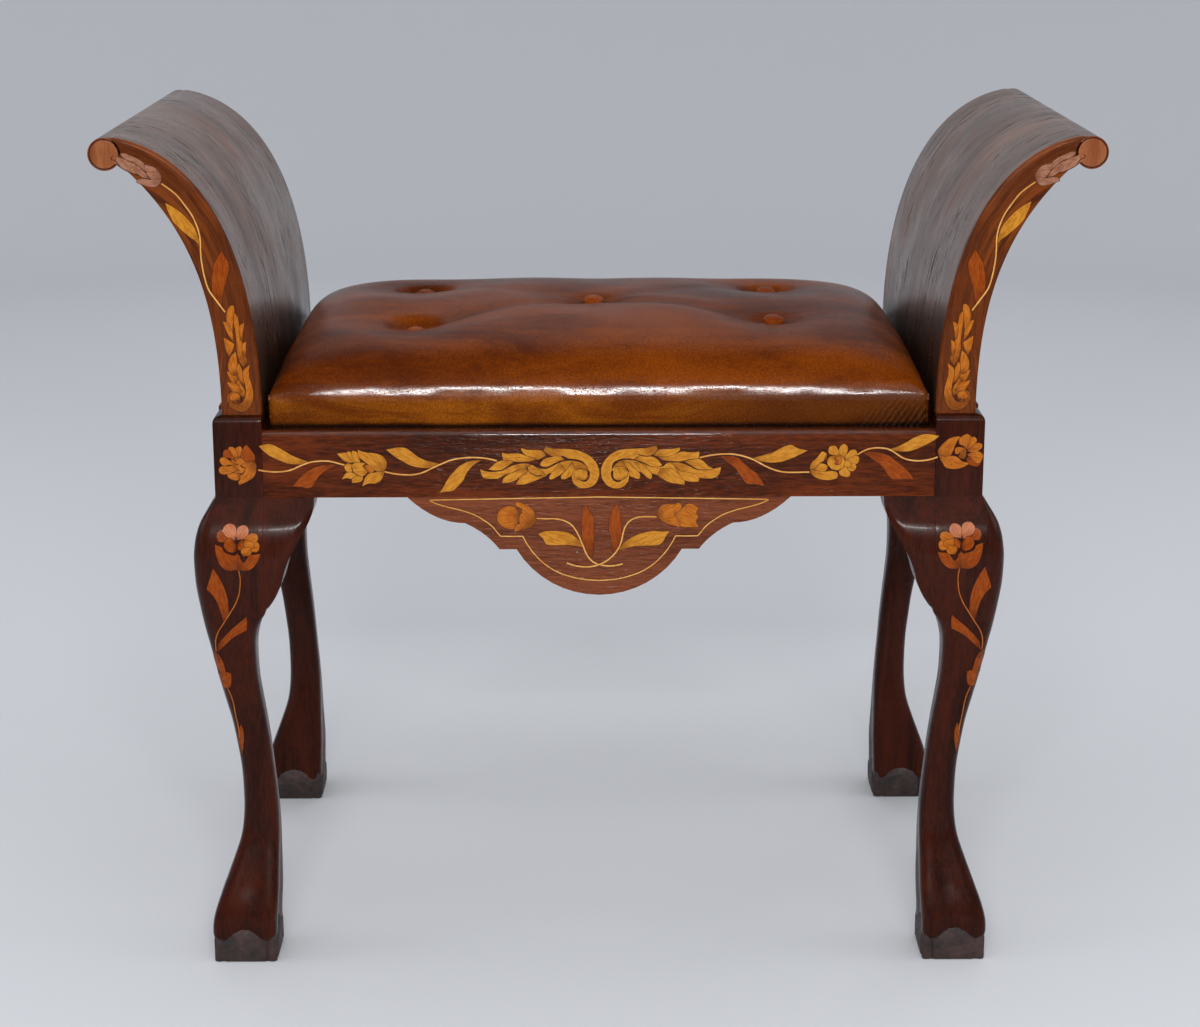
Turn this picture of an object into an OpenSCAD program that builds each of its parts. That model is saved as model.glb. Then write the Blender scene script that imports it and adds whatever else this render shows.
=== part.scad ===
// Piano stool with scrolled arms, cabriole legs on claw feet, and a loose buttoned leather seat.
// The origin is on the floor under the middle of the stool. X runs to the right as seen from the
// front, Y runs to the back and Z up. Lengths are in millimetres.
// A corner is drawn once, in the quadrant of positive X and Y, and mirrored to the other three.

/* [Frame] */
// Width over the four corner posts
frame_w = 600; // [570:5:660]
// Depth over the four corner posts
frame_d = 382; // [362:2:420]
// Height of a leg from the floor to the lower edge of the rails
leg_h = 388; // [370:1:420]
// Height of a corner post above the leg
post_h = 65; // [61:1:72]
// Side of a square corner post
post_w = 38; // [36:1:42]

/* [Rails] */
// Height of the front and rear rails
long_rail_h = 53; // [50:1:57]
// Thickness of the front and rear rails
rail_t = 25; // [22:1:28]
// Radius of the rounded upper edge of the front and rear rails
rail_edge_r = 4; // [2:0.5:5]
// Width of the rail's lip in front of the seat
lip_w = 13; // [11:0.5:14]
// Depth of the rebate that the seat lies in
rebate_h = 14; // [12:0.5:16]
// Height of the shaped apron under the middle of a long rail
apron_drop = 80; // [64:1:90]
// Half width of the apron
apron_half_w = 150; // [130:1:170]

/* [Knee blocks] */
// Width of a knee block beside its leg
knee_block_w = 39; // [34:1:44]
// Height of a knee block
knee_block_h = 88; // [80:1:92]

/* [Arms] */
// Height of the roll's centre above the corner posts
arm_h = 202; // [180:2:230]
// Reach of the roll's centre beyond the inner face of the arm
arm_reach = 112; // [100:1:124]
// Thickness of the arm where it stands on the post
arm_t = 31; // [29:1:33]
// Step of the arm's ends behind the posts' outer faces
arm_setback = 6; // [4:0.5:7]
// Thickness of the veneer on the arm's two faces
veneer_t = 1; // [0.6:0.1:1.5]
// Radius of the roll along the top of the arm
roll_r = 12.5; // [11:0.5:14]

/* [Seat] */
// Gap round the loose seat
seat_gap = 4; // [3:0.5:5]
// Thickness of the leather
leather_t = 1.5; // [1.2:0.1:2]
// Height of the seat's upper edge above the rebate
seat_edge_h = 39; // [34:1:44]
// Height of the crown above the seat's upper edge
crown_h = 49; // [38:1:56]
// Depth of the well that each button pulls into the seat
tuft_depth = 9; // [5:1:12]
// Diameter of a covered button
button_d = 18; // [15:1:22]
// Width of a strip of webbing
web_w = 45; // [40:1:48]

/* [Hidden] */

// Signs that place a corner or an arm
left = -1;
right = 1;
front = -1;
rear = 1;

// Clearance of a tenon or dowel in its hole
fit_gap = 0.1;
// Overrun of a cut past the face that it opens
cut = 1;
// Sides of a round hole or pin
round_sides = 32;

// Levels of the frame
post_top_z = leg_h + post_h;
ledge_z = leg_h + long_rail_h - rebate_h;
// Inner faces of the posts and of the side rails
inner_x = frame_w / 2 - post_w;
inner_y = frame_d / 2 - post_w;
// Inner faces of the front and rear rails
rail_in_y = frame_d / 2 - rail_t;

// Tenons of the rails: distance behind the outer face, thickness, and shoulder above and below
tenon_inset = 7;
tenon_t = 10;
tenon_shoulder = 6;
// Wood left between the tenons that meet inside a post
tenon_wall = 1;
tenon_l = post_w - tenon_inset - tenon_t - tenon_wall;
// Dowels from the arms' stiles into the posts
arm_dowel_d = 8;
arm_dowel_l = 30;
arm_dowel_share = 0.25;
// Heights of the tenons: a long rail's stays below the rebate, a side rail's below the dowels
long_tenon_h = long_rail_h - rebate_h - tenon_shoulder;
side_tenon_h = post_h - 2 * tenon_shoulder - arm_dowel_l / 2;

// Cabriole leg, as shares: height of the leg, outward reach and inward reach of the section
// beyond the post's outer corner (both of the post's width), and depth of the hollows
// between the claws (of half the section).
leg_shares = [
  [1.00, 0.00, 1.000, 0.00], [0.96, 0.29, 1.000, 0.00], [0.90, 0.45, 1.000, 0.00],
  [0.84, 0.46, 1.000, 0.00], [0.775, 0.38, 1.000, 0.00], [0.735, 0.32, 0.820, 0.00],
  [0.68, 0.22, 0.725, 0.00], [0.62, 0.10, 0.720, 0.00], [0.53, -0.09, 0.825, 0.00],
  [0.425, -0.24, 0.930, 0.00], [0.36, -0.26, 0.980, 0.00], [0.30, -0.23, 1.040, 0.02],
  [0.245, -0.11, 1.065, 0.06], [0.19, 0.09, 1.075, 0.11], [0.14, 0.30, 1.075, 0.15],
  [0.10, 0.45, 1.070, 0.17], [0.07, 0.49, 1.050, 0.16], [0.054, 0.47, 1.020, 0.14],
  [0.046, 0.40, 0.950, 0.10]
];
// Rings made between two lines of the list above
ring_steps = 2;
// Points round a ring, a multiple of eight
ring_points = 24;
// Squareness of a ring: the power of its superellipse, outer corner and other corners
outer_power = 3.2;
inner_power_knee = 14;
inner_power_foot = 3.4;
// Share of the leg's height above which the corners beside the knee blocks stay square
knee_share = 0.76;
// Rise of the arches between the claws, and the share of the leg's height where they fade out
claw_arch_h = 11;
claw_fade_share = 0.16;
claw_end_share = 0.046;
// Pad under the claws: side, height and cut corner
pad_w = 50;
pad_h = 30;
pad_corner = 12;

// Knee block outline, as shares of its width and height from the post's inner face
knee_block_shares = [[1, 0], [0.97, 0.18], [0.38, 0.66], [0.33, 0.88], [0, 1]];
// Steps in each curve of an outline
curve_steps = 8;

// Apron outline, as shares of its half width and height, from its end to the middle arch
apron_shares = [
  [1, 0], [0.853, 0.264], [0.70, 0.264], [0.587, 0.365], [0.523, 0.53], [0.433, 0.53]
];
apron_arch_c = apron_shares[5][0] * apron_half_w;
apron_arch_s = (1 - apron_shares[5][1]) * apron_drop;
apron_arch_r = (apron_arch_c * apron_arch_c + apron_arch_s * apron_arch_s) / (2 * apron_arch_s);
apron_arch_angle = asin(apron_arch_c / apron_arch_r);
// Dowels between apron and rail
apron_dowel_d = 8;
apron_dowel_l = 30;
apron_dowel_share = 0.72;

// Corner blocks and their screws
block_leg = 52;
block_h = 26;
block_lift = 4;
screw_d = 4;
screw_head_d = 8;
screw_head_h = 3;
screw_bite = 12;
screw_inset_share = 0.42;
screw_wood_share = 0.45;

// Battens that carry the seat along the side rails
ledger_w = 12;
ledger_h = 18;

// Arm profile: control points of its two faces, as shares of the arm's reach and height
arm_inner_shares = [[0, 0], [0, 0.862], [0.609, 1.031], [0.927, 1]];
arm_outer_shares = [[0, 0], [0, 0.36], [0.359, 0.694], [0.905, 0.965]];
// Stiles at the arm's two ends, staves between them, and steps of the curve in each stave
stile_d = 30;
stave_count = 6;
stave_steps = 4;
arm_steps = stave_count * stave_steps;
// Glue joint between two staves, as a share of one step
stave_joint_share = 0.02;
// Direction on the roll where the inner face meets it, in degrees
roll_meet = 100;
// Discs on the roll's ends: thickness, and width of the sunk line round the middle
roundel_t = 3;
roundel_line = 1.2;
roundel_line_share = 0.8;

// Half size of the seat over its leather, and of its wooden frame
seat_half_w = inner_x - seat_gap;
seat_half_d = frame_d / 2 - lip_w - seat_gap;
// Clearance between soft pieces, and under the resting seat
soft_gap = 0.3;
rest_gap = 0.2;
seat_frame_half_w = seat_half_w - leather_t - soft_gap;
seat_frame_half_d = seat_half_d - leather_t - soft_gap;
seat_rail_w = 45;
seat_rail_t = 20;
seat_tenon_t = 8;
seat_tenon_l = 28;
// Levels of the seat, from the ledge upwards
seat_z = ledge_z + rest_gap;
seat_frame_z = seat_z + leather_t + soft_gap;
web_z = seat_frame_z + seat_rail_t;
web_t = 1.5;
hessian_z = web_z + 2 * web_t;
hessian_t = 1;
stuffing_z = hessian_z + hessian_t + soft_gap;
seat_edge_z = ledge_z + seat_edge_h;
// Width of the leather turned under the frame, and how far its sides draw in above the hessian
turn_under = 18;
draw_in = 2.5;
// Power of the crown's plan and of its rise from the edge
crown_plan = 2.6;
crown_rise = 0.5;
// Radius of a button's well
tuft_r = 32;
// Lines of the seat's form, as shares of its half width and half depth. The buttons lie on them.
seat_x_shares = [0, 0.12, 0.24, 0.36, 0.47, 0.58, 0.68, 0.77, 0.85, 0.92, 0.97, 1];
seat_y_shares = [0, 0.14, 0.27, 0.40, 0.53, 0.68, 0.82, 0.94, 1];
button_shares = [[0, 0], [0.58, 0.40], [-0.58, 0.40], [0.58, -0.40], [-0.58, -0.40]];
// Height of a button's dome, and its lift above the bottom of its well, where its rim rests
button_dome_h = 4.5;
button_lift_shares = [0.2, 0.08];
button_lift = button_lift_shares[0] * tuft_depth + button_lift_shares[1] * button_d;
twine_d = 2;
toggle_d = 6;
toggle_l = 40;
// Strips of webbing, as shares of the seat frame's half width and half depth
cross_web_shares = [-0.74, -0.43, -0.155, 0.155, 0.43, 0.74];
long_web_shares = [-0.61, -0.203, 0.203, 0.61];
web_fold = 30;
// Length of a folded end, short of the outermost strip that crosses it
web_fold_l = min(web_fold, (1 - cross_web_shares[5]) * seat_frame_half_w - web_w / 2 - cut);
bottom_cloth_t = 0.8;
tack_head_d = 7;
tack_head_h = 0.8;
tack_d = 1.6;
tack_l = 10;
tack_pitch = 48;
tack_margin = 0.5;

// Colours
walnut = [0.30, 0.15, 0.09];
mahogany = [0.40, 0.20, 0.11];
veneer_colour = [0.47, 0.30, 0.19];
pine = [0.72, 0.56, 0.36];
beech = [0.80, 0.64, 0.45];
leather_colour = [0.60, 0.31, 0.10];
jute = [0.70, 0.58, 0.38];
hair = [0.35, 0.27, 0.20];
cloth_black = [0.12, 0.11, 0.11];
steel = [0.45, 0.44, 0.42];

// A point on a curve with three control points, at share t
function bend3(a, b, c, t) = (1 - t) * (1 - t) * a + 2 * t * (1 - t) * b + t * t * c;
// A point on a curve with four control points, at share t
function bend4(p, t) =
  pow(1 - t, 3) * p[0] + 3 * t * pow(1 - t, 2) * p[1] + 3 * t * t * (1 - t) * p[2] + pow(t, 3) * p[3];
// The unit normal of that curve, to the right of its run
function bend4_normal(p, t) =
  let (d = pow(1 - t, 2) * (p[1] - p[0]) + 2 * t * (1 - t) * (p[2] - p[1]) + t * t * (p[3] - p[2]))
  [d[1], -d[0]] / norm(d);
// A smooth value between two rows of a list, at share t of the step after row k
function smooth_row(rows, k, t) =
  let (
    a = rows[max(k - 1, 0)],
    b = rows[k],
    c = rows[min(k + 1, len(rows) - 1)],
    d = rows[min(k + 2, len(rows) - 1)]
  )
  0.5 * (2 * b + t * (c - a) + t * t * (2 * a - 5 * b + 4 * c - d) + pow(t, 3) * (3 * b - a - 3 * c + d));

// Children stand in the corner of positive X and Y, and are mirrored to the named corner
module corner(side, end) {
  mirror([side < 0 ? 1 : 0, 0, 0])
    mirror([0, end < 0 ? 1 : 0, 0])
      translate([frame_w / 2, frame_d / 2, 0])
        children();
}

// Children are mirrored to the left or right
module handed(side) {
  mirror([side < 0 ? 1 : 0, 0, 0]) children();
}

// A box from one corner to the other
module block(low, high) {
  translate(low) cube(high - low);
}

// A profile drawn in X and Z, run from one Y to another
module along_y(y0, y1) {
  translate([0, y1, 0])
    rotate([90, 0, 0])
      linear_extrude(y1 - y0)
        children();
}

// Rows of the leg: height share, outward reach, inward reach and hollow depth
leg_rows = [
  for (k = [0:len(leg_shares) - 2], s = [0:ring_steps - 1]) smooth_row(leg_shares, k, s / ring_steps),
  leg_shares[len(leg_shares) - 1]
];

// Squareness of the ring's corners that face along a rail, by height
function side_power(height) =
  height > knee_share
    ? inner_power_knee
    : inner_power_foot + (inner_power_knee - inner_power_foot) * pow(height / knee_share, 12);

// A point of one ring of the leg, measured from the post's outer corner
function ring_point(row, i) =
  let (
    angle = 360 * i / ring_points,
    inward = row[0] > knee_share ? 1 : row[2],
    reach = row[1] * post_w,
    half = (row[1] + inward) * post_w / 2,
    centre = reach - half,
    power = cos(angle) > 0 && sin(angle) > 0 ? outer_power : side_power(row[0]),
    face = pow(cos(2 * angle), 2),
    size = half * (1 - row[3] * face)
      / pow(pow(abs(cos(angle)), power) + pow(abs(sin(angle)), power), 1 / power),
    arch = claw_arch_h * face * max(0, (claw_fade_share - row[0]) / (claw_fade_share - claw_end_share))
  )
  [centre + size * cos(angle), centre + size * sin(angle), row[0] * leg_h + arch];

// Carved part of a leg: stacked rings closed by a cap at each end
module cabriole() {
  rings = len(leg_rows);
  last = leg_rows[rings - 1];
  foot_centre = (last[1] - last[2]) * post_w / 2;
  points = [
    for (row = leg_rows, i = [0:ring_points - 1]) ring_point(row, i),
    [-post_w / 2, -post_w / 2, leg_h],
    [foot_centre, foot_centre, pad_h - cut]
  ];
  top = rings * ring_points;
  bottom = top + 1;
  faces = [
    for (r = [0:rings - 2], i = [0:ring_points - 1])
      let (j = (i + 1) % ring_points, a = r * ring_points, b = a + ring_points)
      each [[a + i, a + j, b + j], [a + i, b + j, b + i]],
    for (i = [0:ring_points - 1]) [top, (i + 1) % ring_points, i],
    for (i = [0:ring_points - 1])
      let (a = (rings - 1) * ring_points)
      [bottom, a + i, a + (i + 1) % ring_points]
  ];
  polyhedron(points, faces);
}

// Square pad that the claws grip, flat on the floor
module foot_pad() {
  last = leg_rows[len(leg_rows) - 1];
  foot_centre = (last[1] - last[2]) * post_w / 2;
  half = pad_w / 2;
  flat = half - pad_corner;
  translate([foot_centre, foot_centre, 0])
    linear_extrude(pad_h)
      polygon([
        [half, flat], [flat, half], [-flat, half], [-half, flat],
        [-half, -flat], [-flat, -half], [flat, -half], [half, -flat]
      ]);
}

// Square post above the knee, with mortises for a long rail and a side rail and two dowel holes
module post() {
  mortise = tenon_l + fit_gap;
  tenon_z = leg_h + tenon_shoulder;
  slot_low = tenon_z - fit_gap;
  long_high = tenon_z + long_tenon_h + fit_gap;
  side_high = tenon_z + side_tenon_h + fit_gap;
  slot_out = tenon_inset - fit_gap;
  slot_in = tenon_inset + tenon_t + fit_gap;
  difference() {
    block([-post_w, -post_w, leg_h], [0, 0, post_top_z]);
    block([-post_w - cut, -slot_in, slot_low], [-post_w + mortise, -slot_out, long_high]);
    block([-slot_in, -post_w - cut, slot_low], [-slot_out, -post_w + mortise, side_high]);
    arm_dowel_places()
      translate([0, 0, -fit_gap])
        cylinder(h = arm_dowel_l, d = arm_dowel_d + 2 * fit_gap, $fn = round_sides);
  }
}

// Leg of one piece: post, cabriole and claw foot
module leg(side, end) {
  color(walnut)
    corner(side, end) {
      post();
      cabriole();
      foot_pad();
    }
}

// Outline of a knee block, from the post's inner face towards the middle of the rail
function knee_block_outline() =
  let (p = [for (s = knee_block_shares) [-post_w - s[0] * knee_block_w, leg_h - s[1] * knee_block_h]])
  [
    [-post_w, leg_h],
    for (i = [0:curve_steps]) bend3(p[0], p[1], p[2], i / curve_steps),
    for (i = [1:curve_steps]) bend3(p[2], p[3], p[4], i / curve_steps)
  ];

// Knee block on the X side of the corner. Its face follows the leg's bulge.
module knee_block_form() {
  bulge = [for (row = leg_rows) if (row[0] * leg_h >= leg_h - knee_block_h - cut) row];
  intersection() {
    along_y(-rail_t, post_w) polygon(knee_block_outline());
    translate([-post_w - knee_block_w, 0, 0])
      rotate([90, 0, 90])
        linear_extrude(knee_block_w)
          polygon([
            [-rail_t, leg_h],
            for (row = bulge) [row[1] * post_w, row[0] * leg_h],
            [-rail_t, bulge[len(bulge) - 1][0] * leg_h]
          ]);
  }
}

// Knee block under a front or rear rail
module long_knee_block(side, end) {
  color(walnut) corner(side, end) knee_block_form();
}

// Knee block under a side rail: the same form, mirrored across the corner's diagonal
module side_knee_block(side, end) {
  color(walnut) corner(side, end) mirror([1, -1, 0]) knee_block_form();
}

// Section of a long rail in Y and Z, with its rounded edge and the rebate for the seat
function long_rail_section() =
  let (
    out = frame_d / 2,
    top = leg_h + long_rail_h
  )
  [
    [rail_in_y, leg_h], [out, leg_h],
    for (i = [0:curve_steps])
      let (a = 90 * i / curve_steps)
      [out - rail_edge_r + rail_edge_r * cos(a), top - rail_edge_r + rail_edge_r * sin(a)],
    [out - lip_w, top], [out - lip_w, ledge_z], [rail_in_y, ledge_z]
  ];

// Front or rear rail, tenoned into the posts
module long_rail(end) {
  tenon_out = frame_d / 2 - tenon_inset;
  tenon_z = leg_h + tenon_shoulder;
  color(mahogany)
    mirror([0, end < 0 ? 1 : 0, 0])
      difference() {
        union() {
          translate([-inner_x, 0, 0])
            rotate([90, 0, 90])
              linear_extrude(2 * inner_x)
                polygon(long_rail_section());
          for (side = [left, right])
            handed(side)
              block(
                [inner_x - cut, tenon_out - tenon_t, tenon_z],
                [inner_x + tenon_l, tenon_out, tenon_z + long_tenon_h]
              );
        }
        apron_dowel_places()
          cylinder(h = apron_dowel_l, d = apron_dowel_d + 2 * fit_gap, center = true, $fn = round_sides);
        for (side = [left, right]) handed(side) long_screw() screw_hole();
      }
}

// Side rail under an arm, as thick as the posts and tenoned into them
module side_rail(side) {
  tenon_out = frame_w / 2 - tenon_inset;
  tenon_z = leg_h + tenon_shoulder;
  color(mahogany)
    handed(side)
      difference() {
        union() {
          block([inner_x, -inner_y, leg_h], [frame_w / 2, inner_y, post_top_z]);
          for (end = [front, rear])
            mirror([0, end < 0 ? 1 : 0, 0])
              block(
                [tenon_out - tenon_t, inner_y - cut, tenon_z],
                [tenon_out, inner_y + tenon_l, tenon_z + side_tenon_h]
              );
        }
        for (end = [front, rear])
          mirror([0, end < 0 ? 1 : 0, 0]) side_screw() screw_hole();
      }
}

// Outline of the apron's right half, from its end to the top of the middle arch
function apron_half() =
  let (p = [for (s = apron_shares) [s[0] * apron_half_w, leg_h - s[1] * apron_drop]])
  [
    for (i = [0:curve_steps]) bend3(p[0], p[1], p[2], i / curve_steps),
    for (i = [1:curve_steps]) bend3(p[2], p[3], p[4], i / curve_steps),
    for (i = [0:curve_steps])
      let (a = apron_arch_angle * (1 - i / curve_steps))
      [apron_arch_r * sin(a), leg_h - apron_drop + apron_arch_r * (1 - cos(a))]
  ];

// Shaped apron glued and dowelled under the middle of a long rail
module apron(end) {
  half = apron_half();
  count = len(half);
  color(walnut)
    mirror([0, end < 0 ? 1 : 0, 0])
      difference() {
        along_y(rail_in_y, frame_d / 2)
          polygon([
            for (p = half) p,
            for (i = [count - 2:-1:0]) [-half[i][0], half[i][1]]
          ]);
        apron_dowel_places()
          cylinder(h = apron_dowel_l, d = apron_dowel_d + 2 * fit_gap, center = true, $fn = round_sides);
      }
}

// Places of the dowels between apron and rail, at the middle of their length
module apron_dowel_places() {
  for (side = [left, 0, right])
    translate([side * apron_dowel_share * apron_half_w, frame_d / 2 - rail_t / 2, leg_h])
      children();
}

// Dowels in both aprons
module apron_dowels() {
  color(beech)
    for (end = [front, rear])
      mirror([0, end < 0 ? 1 : 0, 0])
        apron_dowel_places()
          cylinder(h = apron_dowel_l - 2 * fit_gap, d = apron_dowel_d, center = true, $fn = round_sides);
}

// Three-cornered block glued and screwed into a corner of the frame
module corner_block(side, end) {
  low = leg_h + block_lift;
  color(pine)
    mirror([0, end < 0 ? 1 : 0, 0])
      handed(side)
        difference() {
          translate([0, 0, low])
            linear_extrude(block_h)
              polygon([
                [inner_x, rail_in_y], [inner_x - block_leg, rail_in_y], [inner_x, rail_in_y - block_leg]
              ]);
          long_screw() screw_hole();
          side_screw() screw_hole();
        }
}

// Axis of the screw into the long rail: the origin is its head, on the block's slanting face
module long_screw() {
  inset = screw_inset_share * block_leg;
  translate([inner_x - inset, rail_in_y - block_leg + inset + screw_head_h, leg_h + block_lift + block_h / 2])
    rotate([-90, 0, 0])
      children();
}

// Axis of the screw into the side rail, at a level of its own
module side_screw() {
  inset = screw_inset_share * block_leg;
  translate([
    inner_x - block_leg + inset + screw_head_h, rail_in_y - inset,
    leg_h + block_lift + block_h / 2 - screw_wood_share * block_h / 2
  ])
    rotate([0, 90, 0])
      children();
}

screw_l = block_leg * (1 - screw_inset_share) - screw_head_h + screw_bite;

// Hole for a screw, with its sunk head
module screw_hole() {
  cylinder(h = screw_l + fit_gap, d = screw_d + 2 * fit_gap, $fn = round_sides);
  translate([0, 0, -block_leg])
    cylinder(h = block_leg + screw_head_h + fit_gap, d = screw_head_d + 2 * fit_gap, $fn = round_sides);
}

// Screw: shank and cheese head
module screw() {
  cylinder(h = screw_l, d = screw_d, $fn = round_sides);
  cylinder(h = screw_head_h, d = screw_head_d, $fn = round_sides);
}

// Two screws in each corner block
module corner_block_screws() {
  color(steel)
    for (side = [left, right], end = [front, rear])
      mirror([0, end < 0 ? 1 : 0, 0])
        handed(side) {
          long_screw() screw();
          side_screw() screw();
        }
}

// Batten on the inner face of a side rail, level with the rebates of the long rails
module ledger(side) {
  half = rail_in_y - block_leg;
  color(pine)
    handed(side)
      block([inner_x - ledger_w, -half, ledge_z - ledger_h], [inner_x, half, ledge_z]);
}

// Faces of the arm: control points in X and Z
arm_inner = [
  for (k = [0:3])
    [
      inner_x + arm_inner_shares[k][0] * arm_reach,
      post_top_z + arm_inner_shares[k][1] * arm_h + (k == 3 ? roll_r : 0)
    ]
];
arm_outer = [
  for (k = [0:3])
    [
      inner_x + arm_outer_shares[k][0] * arm_reach + (k < 2 ? arm_t : 0),
      post_top_z + arm_outer_shares[k][1] * arm_h
    ]
];
roll_x = inner_x + arm_reach;
roll_z = post_top_z + arm_h;
arm_end_y = frame_d / 2 - arm_setback;

// A point of a face of the arm at share t, moved in by a depth
function inner_at(t, depth) = bend4(arm_inner, t) + depth * bend4_normal(arm_inner, t);
function outer_at(t, depth) = bend4(arm_outer, t) - depth * bend4_normal(arm_outer, t);

// Share of the arm's height at step i of a stave that runs from step a, kept off the next stave
function stave_share(i, a) = (i + (i == a && a > 0 ? stave_joint_share : 0)) / arm_steps;

// Section of the arm between its faces, each at a depth, from step a to step b of its height
module arm_section(a, b, depth) {
  difference() {
    polygon([
      for (i = [a:b]) inner_at(stave_share(i, a), depth),
      if (b == arm_steps) [roll_x + roll_r * cos(roll_meet), roll_z + roll_r * sin(roll_meet)],
      if (b == arm_steps) [roll_x, roll_z],
      for (i = [b:-1:a]) outer_at(stave_share(i, a), depth)
    ]);
    translate([roll_x, roll_z]) circle(r = roll_r + fit_gap, $fn = 2 * round_sides);
  }
}

// Places of the dowels from an arm's stile into its post, at their lower ends
module arm_dowel_places() {
  x = -post_w + arm_t / 2;
  y = -arm_setback - stile_d / 2;
  for (step = [-1, 1])
    translate([x, y + step * arm_dowel_share * stile_d, post_top_z - arm_dowel_l / 2])
      children();
}

// Shaped upright at the front or rear end of an arm
module arm_stile(side, end) {
  color(mahogany)
    handed(side)
      mirror([0, end < 0 ? 1 : 0, 0])
        difference() {
          along_y(arm_end_y - stile_d, arm_end_y) arm_section(0, arm_steps, veneer_t);
          translate([frame_w / 2, frame_d / 2, 0])
            arm_dowel_places()
              translate([0, 0, fit_gap])
                cylinder(h = arm_dowel_l, d = arm_dowel_d + 2 * fit_gap, $fn = round_sides);
        }
}

// Bevelled staves that fill the curve between the stiles
module arm_staves(side) {
  half = arm_end_y - stile_d;
  color(pine)
    handed(side)
      for (k = [0:stave_count - 1])
        along_y(-half, half) arm_section(k * stave_steps, (k + 1) * stave_steps, veneer_t + fit_gap);
}

// Veneer on the face towards the sitter
module arm_inner_veneer(side) {
  color(veneer_colour)
    handed(side)
      along_y(-arm_end_y, arm_end_y)
        polygon([
          for (i = [0:arm_steps]) inner_at(i / arm_steps, 0),
          for (i = [arm_steps:-1:0]) inner_at(i / arm_steps, veneer_t)
        ]);
}

// Veneer on the outer face
module arm_outer_veneer(side) {
  color(walnut)
    handed(side)
      along_y(-arm_end_y, arm_end_y)
        polygon([
          for (i = [0:arm_steps]) outer_at(i / arm_steps, 0),
          for (i = [arm_steps:-1:0]) outer_at(i / arm_steps, veneer_t)
        ]);
}

// Round roll glued into the hollow along the top of the arm
module arm_roll(side) {
  half = arm_end_y - roundel_t;
  color(walnut)
    handed(side)
      translate([roll_x, half, roll_z])
        rotate([90, 0, 0])
          cylinder(h = 2 * half, r = roll_r, $fn = 2 * round_sides);
}

// Turned disc on an end of the roll, with a sunk line round its middle
module arm_roundel(side, end) {
  line_r = roundel_line_share * roll_r;
  color(mahogany)
    handed(side)
      mirror([0, end < 0 ? 1 : 0, 0])
        translate([roll_x, arm_end_y, roll_z])
          rotate([90, 0, 0])
            difference() {
              cylinder(h = roundel_t, r = roll_r, $fn = 2 * round_sides);
              difference() {
                translate([0, 0, -cut]) cylinder(h = cut + roundel_line, r = line_r, $fn = 2 * round_sides);
                translate([0, 0, -2 * cut])
                  cylinder(h = 4 * cut + roundel_line, r = line_r - roundel_line, $fn = 2 * round_sides);
              }
            }
}

// Dowels between the four stiles and the posts
module arm_dowels() {
  color(beech)
    for (side = [left, right], end = [front, rear])
      corner(side, end)
        arm_dowel_places()
          translate([0, 0, fit_gap])
            cylinder(h = arm_dowel_l - 2 * fit_gap, d = arm_dowel_d, $fn = round_sides);
}

// Front or rear rail of the loose seat, mortised for the side rails
module seat_long_rail(end) {
  low = seat_frame_z;
  shoulder = (seat_rail_t - seat_tenon_t) / 2;
  color(beech)
    mirror([0, end < 0 ? 1 : 0, 0])
      difference() {
        block(
          [-seat_frame_half_w, seat_frame_half_d - seat_rail_w, low],
          [seat_frame_half_w, seat_frame_half_d, low + seat_rail_t]
        );
        for (side = [left, right])
          handed(side)
            block(
              [seat_frame_half_w - seat_rail_w + shoulder - fit_gap,
                seat_frame_half_d - seat_rail_w - cut, low + shoulder - fit_gap],
              [seat_frame_half_w - shoulder + fit_gap,
                seat_frame_half_d - seat_rail_w + seat_tenon_l + fit_gap,
                low + shoulder + seat_tenon_t + fit_gap]
            );
      }
}

// Side rail of the loose seat, with a tenon at each end
module seat_side_rail(side) {
  half = seat_frame_half_d - seat_rail_w;
  shoulder = (seat_rail_t - seat_tenon_t) / 2;
  color(beech)
    handed(side) {
      block(
        [seat_frame_half_w - seat_rail_w, -half, seat_frame_z],
        [seat_frame_half_w, half, seat_frame_z + seat_rail_t]
      );
      block(
        [seat_frame_half_w - seat_rail_w + shoulder, -half - seat_tenon_l, seat_frame_z + shoulder],
        [seat_frame_half_w - shoulder, half + seat_tenon_l, seat_frame_z + shoulder + seat_tenon_t]
      );
    }
}

// Strips of webbing from the front rail to the rear rail of the seat
module seat_cross_webbing() {
  color(jute)
    for (share = cross_web_shares)
      translate([share * seat_frame_half_w - web_w / 2, -seat_frame_half_d, web_z])
        cube([web_w, 2 * seat_frame_half_d, web_t]);
}

// Strips of webbing across the others, with their ends folded double on the side rails
module seat_long_webbing() {
  color(jute)
    for (share = long_web_shares)
      translate([-seat_frame_half_w, share * seat_frame_half_d - web_w / 2, 0]) {
        translate([0, 0, web_z + web_t]) cube([2 * seat_frame_half_w, web_w, web_t]);
        for (start = [0, 2 * seat_frame_half_w - web_fold_l])
          translate([start, 0, web_z]) cube([web_fold_l, web_w, web_t]);
      }
}

// Sheet of hessian over the webbing
module seat_hessian() {
  color(jute)
    difference() {
      block(
        [-seat_frame_half_w, -seat_frame_half_d, hessian_z],
        [seat_frame_half_w, seat_frame_half_d, hessian_z + hessian_t]
      );
      twine_holes();
    }
}

// All lines of the seat's form, from one edge to the other
seat_xs = [for (i = [len(seat_x_shares) - 1:-1:1]) -seat_x_shares[i], each seat_x_shares];
seat_ys = [for (i = [len(seat_y_shares) - 1:-1:1]) -seat_y_shares[i], each seat_y_shares];
seat_cols = len(seat_xs);
seat_rows = len(seat_ys);

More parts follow.
